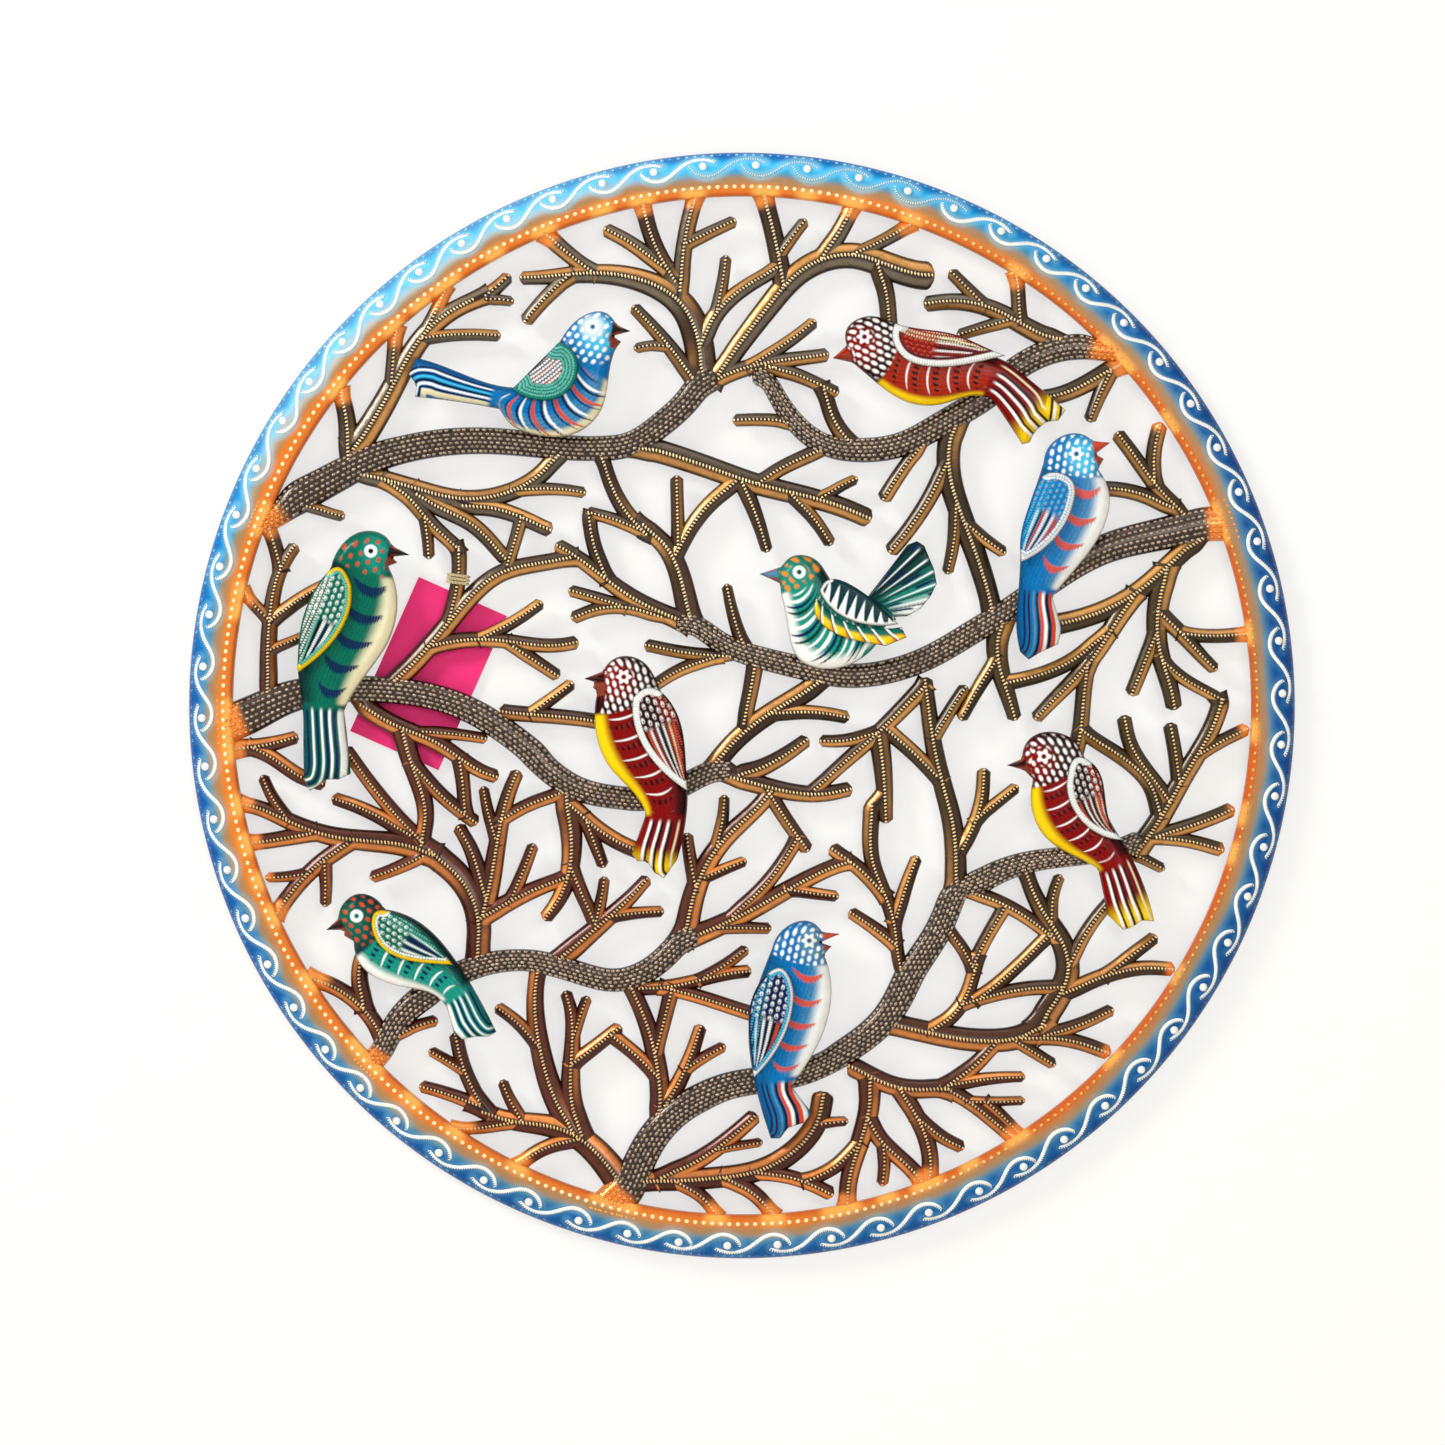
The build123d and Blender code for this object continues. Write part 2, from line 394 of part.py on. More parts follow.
# ---- the birds -----------------------------------------------------------------------------------------
# Each has its outline, its wing or wings, and the places of its posts and rivets.
birds = {
    "blue_top_left_bird": {
        "body": [
            ("line", (-66, 200), (-58.5, 196.5), (-68, 194), (-63.5, 191), (-66.5, 187)),
            ("curve", (-66.5, 187), (-70, 173), (-74, 155), (-87, 143), (-108, 142), (-122, 148), (-127, 155.5)),
            ("curve", (-127, 155.5), (-150, 159.5), (-172, 162)),
            ("line", (-172, 162), (-171, 168), (-175, 174), (-171.5, 182.5)),
            ("curve", (-171.5, 182.5), (-150, 175.5), (-128, 168), (-119, 167)),
            ("curve", (-119, 167), (-97, 189), (-86, 203), (-75, 207), (-66, 200)),
        ],
        "wings": {
            "wing": [
                ("line", (-120.5, 165.5), (-96, 190)),
                ("curve", (-96, 190), (-87.5, 184), (-86.5, 172), (-95, 161.5), (-109, 160), (-120.5, 165.5)),
            ],
        },
        "posts": [(-104, 152), (-101.5, 167)],
        "rivets": {"wing": [(-96, 180), (-106, 168)]},
    },
    "red_top_right_bird": {
        "body": [
            ("line", (55, 189), (47.5, 182.3), (58, 180)),
            ("curve", (58, 180), (71, 169), (86, 159.5), (104, 158), (120, 162.5), (131, 161)),
            ("curve", (131, 161), (138, 151), (147, 137)),
            ("line", (147, 137), (151, 138), (154, 144), (160, 149), (166, 149.5), (170, 155)),
            ("curve", (170, 155), (155, 168), (139, 180.5)),
            ("curve", (139, 180.5), (120, 188), (98, 195), (79, 201.5), (67, 204.5), (56.5, 200), (55, 189)),
        ],
        "wings": {
            "wing": [
                ("curve", (138, 183), (126, 188), (110, 194.5), (94, 197), (80, 200)),
                ("curve", (80, 200), (79, 190), (85, 181.5), (98, 177.3), (118, 178.5), (138, 183)),
            ],
        },
        "posts": [(128, 168.5), (80.5, 187)],
        "rivets": {"wing": [(90, 190), (112, 185)]},
    },
    "blue_right_bird": {
        "body": [
            ("line", (184, 139), (193.5, 138), (185.5, 132), (190, 129.5), (187, 124)),
            ("curve", (187, 124), (193, 105), (186, 86), (172, 68), (163, 57)),
            ("line", (163, 57), (168, 40), (166, 32), (157, 28), (150.5, 24), (146, 28)),
            ("curve", (146, 28), (144, 48), (145.5, 66), (147, 88), (153, 111), (158.5, 128)),
            ("curve", (158.5, 128), (164, 139), (175, 143), (184, 139)),
        ],
        "wings": {
            "wing": [
                ("curve", (146, 75), (146, 90), (151, 107), (160, 121.5), (170, 120), (174, 109)),
                ("curve", (174, 109), (169, 95), (158, 82), (146, 75)),
            ],
        },
        "posts": [(154, 60.5), (176, 112.5)],
        "rivets": {"wing": [(163, 110), (154, 90)]},
    },
    "green_left_bird": {
        "body": [
            ("line", (-184, 84), (-174.5, 79), (-184, 78), (-181, 75), (-186, 73)),
            ("curve", (-186, 73), (-181, 56), (-186, 33), (-199, 14), (-209, -3)),
            ("line", (-209, -3), (-207, -20), (-205.5, -36), (-212, -39), (-218, -39), (-227, -45), (-230, -39)),
            ("curve", (-230, -39), (-230.5, -20), (-231, 0), (-233.5, 20), (-229, 46), (-216, 72)),
            ("curve", (-216, 72), (-212, 82), (-201, 91), (-190, 90.5), (-184, 84)),
        ],
        "wings": {
            "wing": [
                ("curve", (-232.5, 17), (-231.5, 38), (-224, 60), (-212, 72.5), (-204.5, 63)),
                ("curve", (-204.5, 63), (-206.5, 46), (-216, 31), (-232.5, 17)),
            ],
        },
        "posts": [(-218, 9), (-207, 67)],
        "rivets": {"wing": [(-214, 60), (-222, 38)]},
    },
    "green_centre_bird": {
        "body": [
            ("line", (21, 73), (9, 69), (20, 64), (20.5, 57)),
            ("curve", (20.5, 57), (24, 40), (30, 24), (45, 19), (60, 23), (72, 34)),
            ("curve", (72, 34), (76, 42), (81, 45)),
            ("curve", (81, 45), (66, 57), (47, 65.5), (40, 75.5), (29, 79), (21, 73)),
        ],
        "wings": {
            "feathers": [
                ("curve", (39, 57), (38.5, 47), (50, 37), (64, 33), (75, 31)),
                ("line", (75, 31), (81, 33.5), (86, 35.5), (83.5, 41)),
                ("curve", (83.5, 41), (66, 40.6), (49, 46.5), (39, 57)),
            ],
            "covert": [
                ("curve", (40.5, 60), (46, 66), (58, 62.5), (72, 52), (82, 42.5)),
                ("curve", (82, 42.5), (66, 42), (50, 48), (40.5, 60)),
            ],
        },
        "posts": [(47, 28), (46, 45)],
        "rivets": {"feathers": [(48, 42.5), (61, 37.5)], "covert": [(51, 56), (65, 49)]},
    },
    "red_centre_bird": {
        "body": [
            ("line", (-73, 18), (-83, 14), (-77, 12), (-78.5, 9.5), (-76, 7)),
            ("curve", (-76, 7), (-77.5, -8), (-70, -32), (-57, -46), (-50.5, -57)),
            ("line", (-50.5, -57), (-58, -78), (-55, -82), (-50, -82), (-46, -88), (-41, -91), (-34, -81)),
            ("curve", (-34, -81), (-30, -64), (-28.5, -46), (-31, -24), (-38, -2)),
            ("curve", (-38, -2), (-45, 13), (-52, 23), (-61, 26), (-73, 18)),
        ],
        "wings": {
            "wing": [
                ("curve", (-28.5, -45), (-30, -22), (-37, 1), (-46, 9), (-57, 4)),
                ("curve", (-57, 4), (-56, -12), (-46, -30), (-28.5, -45)),
            ],
        },
        "posts": [(-43, -48), (-66, -11)],
        "rivets": {"wing": [(-49, -3), (-41, -22)]},
    },
    "red_right_bird": {
        "body": [
            ("line", (147, -28), (139, -31.5), (148, -34), (153, -39)),
            ("curve", (153, -39), (152, -54), (159, -69), (174, -79), (187, -86)),
            ("line", (187, -86), (192, -110), (200, -118), (205, -116.5), (210, -113), (216.5, -113.5)),
            ("curve", (216.5, -113.5), (212, -97), (203, -77), (192, -58), (182, -32), (176, -20)),
            ("curve", (176, -20), (167, -14.5), (155, -15), (147, -28)),
        ],
        "wings": {
            "wing": [
                ("curve", (200, -70.5), (190, -48), (185, -32), (177, -27), (170.5, -36)),
                ("curve", (170.5, -36), (172, -52), (184, -66), (200, -70.5)),
            ],
        },
        "posts": [(186, -78), (171, -31)],
        "rivets": {"wing": [(179, -38), (186, -56)]},
    },
    "green_lower_left_bird": {
        "body": [
            ("line", (-212, -112), (-218.5, -118), (-209, -118), (-209, -121), (-204, -124)),
            ("curve", (-204, -124), (-198, -139), (-180, -147.5), (-164, -151), (-155, -159)),
            ("line", (-155, -159), (-151.5, -172), (-147, -175.5), (-140, -174), (-133, -174), (-129, -171.5)),
            ("curve", (-129, -171.5), (-138, -154), (-149, -136), (-164, -118), (-188, -107)),
            ("curve", (-188, -107), (-194, -100.5), (-202, -99), (-209, -103.5), (-212, -112)),
        ],
        "wings": {
            "wing": [
                ("curve", (-151, -136), (-165, -120), (-180, -109.5), (-191, -107.5), (-194, -116)),
                ("curve", (-194, -116), (-186, -129), (-170, -134.5), (-151, -136)),
            ],
        },
        "posts": [(-161, -145), (-190, -122)],
        "rivets": {"wing": [(-184, -117), (-168, -127)]},
    },
    "blue_bottom_bird": {
        "body": [
            ("line", (42, -119), (51.5, -120), (41, -124.5), (47, -126.5), (43, -131)),
            ("curve", (43, -131), (47, -150), (43, -171), (33, -190), (26, -200)),
            ("line", (26, -200), (36.5, -214), (33, -219), (24, -222), (20, -227.5), (15, -227.5)),
            ("curve", (15, -227.5), (9, -208), (5, -190), (3.5, -168), (8, -148), (16, -127)),
            ("curve", (16, -127), (23, -116.5), (33, -113), (42, -119)),
        ],
        "wings": {
            "wing": [
                ("curve", (6, -195), (3.5, -172), (8, -147), (18, -137.5), (27, -150)),
                ("curve", (27, -150), (24, -168), (17, -182), (6, -195)),
            ],
        },
        "posts": [(17, -196), (17, -165)],
        "rivets": {"wing": [(16, -150), (14, -170)]},
    },
}
fan_tail = [
    ("curve", (62, 52), (76, 70), (87, 84.5)),
    ("line", (87, 84.5), (92, 86.5), (96, 84), (98, 79), (101, 72), (102.5, 64), (99, 57), (94, 51), (87, 47)),
    ("curve", (87, 47), (77, 46), (68, 44)),
    ("line", (68, 44), (62, 52)),
]
fan_tail_post = (68.5, 47.5)

# ---- the openwork panel: rim, limbs and twigs in one sheet ---------------------------------------------
limb_lines = [(widths, centre_line(points)) for runs in limbs.values() for widths, *points in runs]
twig_lines = [(widths, end, centre_line(points)) for widths, end, *points in twigs]


def limb_faces(narrower=0.0):
    return [stroke(line, widths, narrower, trims=(narrower, narrower)) for widths, line in limb_lines]


def ridge_samples(widths, end, line):
    """Points every couple of millimetres along a twig, with half the ridge's width, and its basic trims."""
    trims = (0.45 * widths[0], 1.2 if end == "tip" else 0.45 * widths[1])
    count = max(6, round(line.length / 1.5))
    stations = [(trims[0] + (line.length - sum(trims)) * i / count) / line.length for i in range(count + 1)]
    spots = [line @ at for at in stations]
    return [(at, spot.X, spot.Y, ridge_share * width_at(widths, at) / 2) for at, spot in zip(stations, spots)]


def near(box, other, margin):
    return all(box[i] < other[i + 2] + margin and other[i] < box[i + 2] + margin for i in (0, 1))


def ridge_faces():
    """The narrow ridge along each twig, which stops short of any other twig's ridge."""
    sampled = [ridge_samples(*twig) for twig in twig_lines]
    boxes = [(min(p[1] for p in run), min(p[2] for p in run), max(p[1] for p in run), max(p[2] for p in run))
             for run in sampled]
    faces = []
    for index, (widths, end, line) in enumerate(twig_lines):
        others = [point for other, run in enumerate(sampled)
                  if other != index and near(boxes[index], boxes[other], 4.0) for point in run]
        free = [all(hypot(x - other_x, y - other_y) > half + other_half + ridge_clearance
                    for _, other_x, other_y, other_half in others)
                for _, x, y, half in sampled[index]]
        first, last = 0, len(free) - 1
        while not free[first] and first < last - 2:
            first += 1
        while not free[last] and last > first + 2:
            last -= 1
        trims = (sampled[index][first][0] * line.length, (1 - sampled[index][last][0]) * line.length)
        faces.append(stroke(line, [ridge_share * width for width in widths], trims=trims))
    return faces


post_spots = [placed(*spot) for bird in birds.values() for spot in bird["posts"]]

with BuildPart() as openwork_panel:
    with BuildSketch(wall_plane(twig_back)):
        add([stroke(line, widths, 0.0, flare, round_tip=end == "tip") for widths, end, line in twig_lines]
            + limb_faces())
    extrude(amount=sheet)
    with BuildSketch(wall_plane(limb_front - limb_depth)):
        add(limb_faces())
    extrude(amount=limb_depth)
    with BuildSketch(wall_plane(twig_front)):
        add(ridge_faces())
    extrude(amount=ridge_height)
    with BuildSketch(wall_plane(twig_back)):
        with Locations(*post_spots):
            Circle(pad_radius)
    extrude(amount=limb_front - twig_back)
    with BuildSketch(wall_plane(limb_front - limb_depth)):
        add(limb_faces(1.5 * sheet))
    extrude(amount=limb_depth - sheet, mode=Mode.SUBTRACT)
    # The rim: a bowed band, its outer edge turned back to the wall and its inner edge folded back.
    with BuildSketch(Plane.XY):
        with BuildLine():
            shoulder = panel_radius - 0.45 * rim_width
            bow = 0.2 * rim_width
            Line((panel_radius, 0), (panel_radius, -0.3 * rim_front))
            ThreePointArc((panel_radius, -0.3 * rim_front), (panel_radius - bow, -0.82 * rim_front),
                          (shoulder, -rim_front))
            Polyline((shoulder, -rim_front), (rim_inner, -rim_front), (rim_inner, rim_return - rim_front),
                     (rim_inner + sheet, rim_return - rim_front), (rim_inner + sheet, sheet - rim_front),
                     (shoulder, sheet - rim_front))
            ThreePointArc((shoulder, sheet - rim_front),
                          (panel_radius - bow - 0.7 * sheet, -0.82 * rim_front + 0.7 * sheet),
                          (panel_radius - sheet, -0.3 * rim_front))
            Polyline((panel_radius - sheet, -0.3 * rim_front), (panel_radius - sheet, 0), (panel_radius, 0))
        make_face()
    revolve(axis=Axis.Y)
openwork_panel.part.label = "openwork_panel"
export_step(openwork_panel.part, "parts/openwork_panel.step")


# ---- the birds: formed pans, open behind, each on two posts, with the wings riveted on -----------------
def profile(runs, depth, inward):
    """An outline at a depth in front of the wall, moved inwards all round."""
    with BuildSketch(wall_plane(depth)) as drawn:
        add(outline(runs))
        if inward:
            offset(amount=-inward, mode=Mode.REPLACE)
    return drawn.sketch.to_splines() if inward else drawn.sketch


def form_pan(runs, back, depth, step):
    """Sheet formed forward from `back`: turned-back edges and a raised middle, hollow behind."""
    extrude(profile(runs, back, 0), amount=depth - step)
    extrude(profile(runs, back, step), amount=depth)
    extrude(profile(runs, back, sheet), amount=depth - step - sheet, mode=Mode.SUBTRACT)
    extrude(profile(runs, back, step + sheet), amount=depth - sheet, mode=Mode.SUBTRACT)


def stand_pins(spots, radius, start, stop):
    """Round pins from one depth to another."""
    with BuildSketch(wall_plane(start)) as ends:
        with Locations(*[placed(*spot) for spot in spots]):
            Circle(radius)
    extrude(ends.sketch, amount=stop - start)


for name, bird in birds.items():
    with BuildPart() as body:
        form_pan(bird["body"], body_back, bird_depth, bird_step)
    body.part.label = f"{name}_body"
    export_step(body.part, f"parts/{name}_body.step")

    with BuildPart() as posts:
        stand_pins(bird["posts"], post_radius, limb_front, body_front - sheet)
    posts.part.label = f"{name}_posts"
    export_step(posts.part, f"parts/{name}_posts.step")

    for wing_name, runs in bird["wings"].items():
        with BuildPart() as wing:
            form_pan(runs, wing_back, wing_depth, wing_step)
        wing.part.label = f"{name}_{wing_name}"
        export_step(wing.part, f"parts/{name}_{wing_name}.step")

        with BuildPart() as rivets:
            stand_pins(bird["rivets"][wing_name], rivet_radius, body_front, wing_back + wing_depth - sheet)
        rivets.part.label = f"{name}_{wing_name}_rivets"
        export_step(rivets.part, f"parts/{name}_{wing_name}_rivets.step")

with BuildPart() as green_centre_bird_tail:
    extrude(profile(fan_tail, tail_back, 0), amount=sheet)
green_centre_bird_tail.part.label = "green_centre_bird_tail"
export_step(green_centre_bird_tail.part, "parts/green_centre_bird_tail.step")

with BuildPart() as green_centre_bird_tail_post:
    stand_pins([fan_tail_post], post_radius, tail_back + sheet, body_front - sheet)
green_centre_bird_tail_post.part.label = "green_centre_bird_tail_post"
export_step(green_centre_bird_tail_post.part, "parts/green_centre_bird_tail_post.step")

# ---- the card tag and the twine that ties it to its twig -----------------------------------------------
tag_line = centre_line(tag_twig[2:])
tie_spot, tie_along = tag_line @ tag_station, tag_line % tag_station
turn_half_width = width_at(tag_twig[0], tag_station) / 2 + twine_clearance + twine_radius
turn_back = twig_back - twine_clearance - twine_radius
turn_front = ridge_front + twine_clearance + twine_radius
turn_plane = Plane(origin=(tie_spot.X, -(turn_back + turn_front) / 2, tie_spot.Y), x_dir=(0, 1, 0),
                   z_dir=(-tie_along.X, 0, -tie_along.Y))
lowest_turn = (twine_turns - 1) / 2 * twine_pitch
hole_x = tie_spot.X
hole_z = tie_spot.Y - lowest_turn - tag_drop
card_front = tag_wall_gap + tag_card
front_strand = card_front + twine_clearance + loop_radius
back_strand = tag_wall_gap - twine_clearance - loop_radius
loop_foot = hole_z + tag_hole_radius - twine_clearance - loop_radius
loop_head = tie_spot.Y - lowest_turn
card_top = hole_z + tag_hole_inset
loop_bend = (front_strand - back_strand) / 2 - 0.05

with BuildPart() as tag_twine:
    for turn in range(twine_turns):
        with BuildLine(turn_plane.offset((turn - (twine_turns - 1) / 2) * twine_pitch)) as turn_path:
            depth, width = turn_front - turn_back, 2 * turn_half_width
            FilletPolyline((-depth / 2, width / 2), (depth / 2, width / 2), (depth / 2, -width / 2),
                           (-depth / 2, -width / 2), close=True, radius=0.4 * depth)
        with BuildSketch(Plane(origin=turn_path.line @ 0, z_dir=turn_path.line % 0)):
            Circle(twine_radius)
        sweep(path=turn_path.line)
    with BuildLine(Plane(origin=(hole_x, 0, 0), x_dir=(0, -1, 0), z_dir=(-1, 0, 0))) as loop_path:
        FilletPolyline((front_strand, loop_foot), (back_strand, loop_foot), (back_strand, card_top + 3 * loop_radius),
                       (turn_back - 2 * twine_radius, loop_head + twine_radius),
                       (turn_back, loop_head - twine_radius), (front_strand, card_top + 2 * loop_radius),
                       close=True, radius=0.6 * loop_bend)
    with BuildSketch(Plane(origin=loop_path.line @ 0, z_dir=loop_path.line % 0)):
        Circle(loop_radius)
    sweep(path=loop_path.line)
tag_twine.part.label = "tag_twine"
export_step(tag_twine.part, "parts/tag_twine.step")

with BuildPart() as hang_tag:
    with BuildSketch(wall_plane(tag_wall_gap)):
        with Locations(Location((hole_x, hole_z), -tag_tilt)):
            with Locations((0, tag_hole_inset - tag_height / 2)):
                Rectangle(tag_width, tag_height)
            Circle(tag_hole_radius, mode=Mode.SUBTRACT)
    extrude(amount=tag_card)
hang_tag.part.label = "hang_tag"
export_step(hang_tag.part, "parts/hang_tag.step")
print("tag hinge at", round(hole_x, 3), round(-tag_wall_gap - tag_card / 2, 3), round(hole_z, 3))
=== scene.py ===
import bpy
import numpy as np
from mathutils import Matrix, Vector
from mathutils.geometry import delaunay_2d_cdt


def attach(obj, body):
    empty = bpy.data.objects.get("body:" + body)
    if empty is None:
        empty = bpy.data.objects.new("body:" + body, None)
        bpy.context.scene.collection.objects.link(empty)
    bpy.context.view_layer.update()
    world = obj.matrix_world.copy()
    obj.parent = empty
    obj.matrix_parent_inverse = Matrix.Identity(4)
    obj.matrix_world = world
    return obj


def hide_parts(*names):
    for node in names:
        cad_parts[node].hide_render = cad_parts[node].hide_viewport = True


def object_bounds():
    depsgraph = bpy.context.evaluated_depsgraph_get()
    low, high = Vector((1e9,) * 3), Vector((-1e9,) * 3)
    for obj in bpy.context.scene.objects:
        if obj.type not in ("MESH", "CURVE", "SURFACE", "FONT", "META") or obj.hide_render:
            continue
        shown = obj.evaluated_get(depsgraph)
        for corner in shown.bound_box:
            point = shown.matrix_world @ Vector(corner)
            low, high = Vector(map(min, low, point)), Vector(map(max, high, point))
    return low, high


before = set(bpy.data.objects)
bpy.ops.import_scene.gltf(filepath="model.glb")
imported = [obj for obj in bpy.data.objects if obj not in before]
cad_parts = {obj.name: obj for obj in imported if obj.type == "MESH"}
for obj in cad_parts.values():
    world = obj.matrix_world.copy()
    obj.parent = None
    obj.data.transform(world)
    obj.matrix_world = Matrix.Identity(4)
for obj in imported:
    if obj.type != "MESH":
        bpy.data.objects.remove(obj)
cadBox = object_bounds()

metre = 0.001  # every array below is in millimetres: across x, up z, and depth in front of the wall
rng = np.random.default_rng(11)


# A node's corners in millimetres as (x, z, depth), welded to a thousandth, and its triangles.
def readNode(name):
    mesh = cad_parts[name].data
    corners = np.empty(len(mesh.vertices) * 3, np.float32)
    mesh.vertices.foreach_get("co", corners)
    order = np.empty(len(mesh.loops), np.int32)
    mesh.loops.foreach_get("vertex_index", order)
    grid = np.round(corners.reshape(-1, 3).astype(float) * 1e6).astype(np.int64)
    welded, index = np.unique(grid, axis=0, return_inverse=True)
    spots = welded * 1e-3
    return np.column_stack([spots[:, 0], spots[:, 2], -spots[:, 1]]), index.reshape(-1)[order].reshape(-1, 3)


# The closed outlines of a node's flat faces at one depth. Each rim corner points to the next one;
# pointer doubling finds every ring's lowest corner, then how many steps each corner is away from it.
def outlinesAt(node, depth, tolerance=0.03):
    spots, triangles = node
    level = np.abs(spots[:, 2] - depth) < tolerance
    flat = triangles[level[triangles].all(axis=1)]
    edges = np.concatenate([flat[:, [0, 1]], flat[:, [1, 2]], flat[:, [2, 0]]])
    size = len(spots)
    forward, backward = edges[:, 0] * size + edges[:, 1], edges[:, 1] * size + edges[:, 0]
    rim = edges[~np.isin(forward, backward)]
    used, local = np.unique(rim, return_inverse=True)
    local = local.reshape(-1, 2)
    follow = np.arange(len(used))
    follow[local[:, 0]] = local[:, 1]
    rounds = int(np.ceil(np.log2(max(len(used), 2)))) + 1
    lowest, hop = np.arange(len(used)), follow.copy()
    for _ in range(rounds):
        lowest = np.minimum(lowest, lowest[hop])
        hop = hop[hop]
    first = lowest == np.arange(len(used))
    hop = np.where(first, np.arange(len(used)), follow)
    steps = (~first).astype(int)
    for _ in range(rounds):
        steps = steps + steps[hop]
        hop = hop[hop]
    order = np.lexsort((-np.where(first, 10**9, steps), lowest))
    cuts = np.flatnonzero(np.diff(lowest[order])) + 1
    return [spots[used[ring], :2] for ring in np.split(order, cuts) if len(ring) > 2]


# A screen colour, 0 to 255 for each of red, green and blue, as light; deepened a little, since varnish pales it.
def paintOf(*colour):
    share = np.array(colour, float) / 255
    return np.where(share < 0.04045, share / 12.92, ((share + 0.055) / 1.055) ** 2.4) ** 1.15


# The size of each vector: the root of the sum of its squares.
def sizeOf(vectors):
    return np.linalg.norm(vectors, axis=-1)


# Vectors scaled to a size of one.
def unitOf(vectors):
    return vectors / (sizeOf(vectors)[..., None] + 1e-9)


# The distance of each point of a line from its first one, measured along it.
def runOf(points):
    return np.concatenate([[0], np.cumsum(sizeOf(np.diff(points, axis=0)))])


# The whole of that distance.
def lengthOf(points):
    return runOf(points)[-1]


# Vectors turned a quarter anticlockwise.
def leftOf(vectors):
    return np.column_stack([-vectors[:, 1], vectors[:, 0]])


# The columns of a table whose rows stand at the places along, read at other places.
def readAt(at, along, table):
    return np.column_stack([np.interp(at, along, column) for column in table.T])


# Values at even steps, read again at another number of even steps.
def stretched(values, count):
    return np.interp(np.linspace(0, 1, count), np.linspace(0, 1, len(values)), values)


# A line through the given points, resampled at even steps of its length.
def evenly(points, count, closed=False):
    if closed:
        points = np.vstack([points, points[:1]])
    along = runOf(points)
    return readAt(np.linspace(0, along[-1], count, endpoint=not closed), along, points)


# Folds a closed outline over itself: of all the ways to pair its two sides, the one whose pairs lie nearest.
# The middles of the pairs are the centre line, and their distances are the widths.
def foldOutline(outline, samples=240):
    ring = evenly(outline, samples, closed=True)
    start = np.arange(samples)[:, None]
    step = np.arange(samples // 2 + 1)[None, :]
    one, other = ring[(start + step) % samples], ring[(start - step) % samples]
    apart = sizeOf(one - other)
    best = apart.mean(axis=1).argmin()
    return (one[best] + other[best]) / 2, apart[best]


# Moves a centre line to the middle of its outline: at each point the nearest stretch of either side.
def centreIn(outline, line, rounds=3):
    ring = evenly(outline, 900, closed=True)
    for _ in range(rounds):
        along = unitOf(np.gradient(line, axis=0))
        normal = leftOf(along)
        away = ring[None] - line[:, None]
        side = (away * normal[:, None]).sum(axis=2)
        slip = np.abs((away * along[:, None]).sum(axis=2))
        reach = np.abs(side) + 3 * slip
        left = np.where(side > 0, reach, 1e6).argmin(axis=1)
        right = np.where(side < 0, reach, 1e6).argmin(axis=1)
        line = line.copy()
        line[2:-2] = ((ring[left] + ring[right]) / 2)[2:-2]
        line = smoothed(line, 3)
    return line, sizeOf(ring[left] - ring[right])


# Values along a line, each averaged with its neighbours at half weight; the ends stay.
def smoothed(values, rounds=1):
    values = values.copy()
    for _ in range(rounds):
        values[1:-1] = values[1:-1] * 0.5 + (values[:-2] + values[2:]) * 0.25
    return values


# One colour turning into another as a share goes from 0 to 1.
def mixed(one, other, share):
    share = np.asarray(share)[..., None]
    return np.asarray(one) * (1 - share) + np.asarray(other) * share


# From 0 at low to 1 at high, level at both ends: 3 s squared less 2 s cubed.
def ease(values, low, high):
    share = np.clip((values - low) / (high - low), 0, 1)
    return share * share * (3 - 2 * share)


# A quarter circle's rise from an edge: the root of 1 less the square of (1 - how far in).
def roundOff(away, reach, least=0.0):
    return np.sqrt(np.clip(1 - (1 - np.clip(away / reach, 0, 1)) ** 2, least, 1))


# Quads between the rows of a grid of points; a closed grid joins its last column to its first.
def gridFaces(rows, columns, closed=True):
    row, column = np.meshgrid(np.arange(rows - 1), np.arange(columns if closed else columns - 1), indexing="ij")
    beside = (column + 1) % columns
    a, b = row * columns + column, row * columns + beside
    return np.stack([a, b, b + columns, a + columns], axis=-1).reshape(-1, 4)


# A closed skin over rings of points (rings, around, 3), with a middle point at either end.
def skinOf(rings):
    count, around = rings.shape[:2]
    points = np.vstack([rings.reshape(-1, 3), rings[0].mean(axis=0), rings[-1].mean(axis=0)])
    ring = np.arange(around)
    beside = np.roll(ring, -1)
    last = (count - 1) * around
    first = np.column_stack([beside, ring, np.full(around, count * around)])
    end = np.column_stack([ring + last, beside + last, np.full(around, count * around + 1)])
    return points, gridFaces(count, around), np.vstack([first, end])


# Turns a closed shape's faces outwards: the sum of a.(b x c) over its triangles is six times its volume.
def outwards(points, quads, triangles):
    sides = np.vstack([quads[:, [0, 1, 2]], quads[:, [0, 2, 3]], triangles])
    place = points - points.mean(axis=0)
    a, b, c = place[sides[:, 0]], place[sides[:, 1]], place[sides[:, 2]]
    if (a * np.cross(b, c)).sum() < 0:
        return quads[:, ::-1], triangles[:, ::-1]
    return quads, triangles


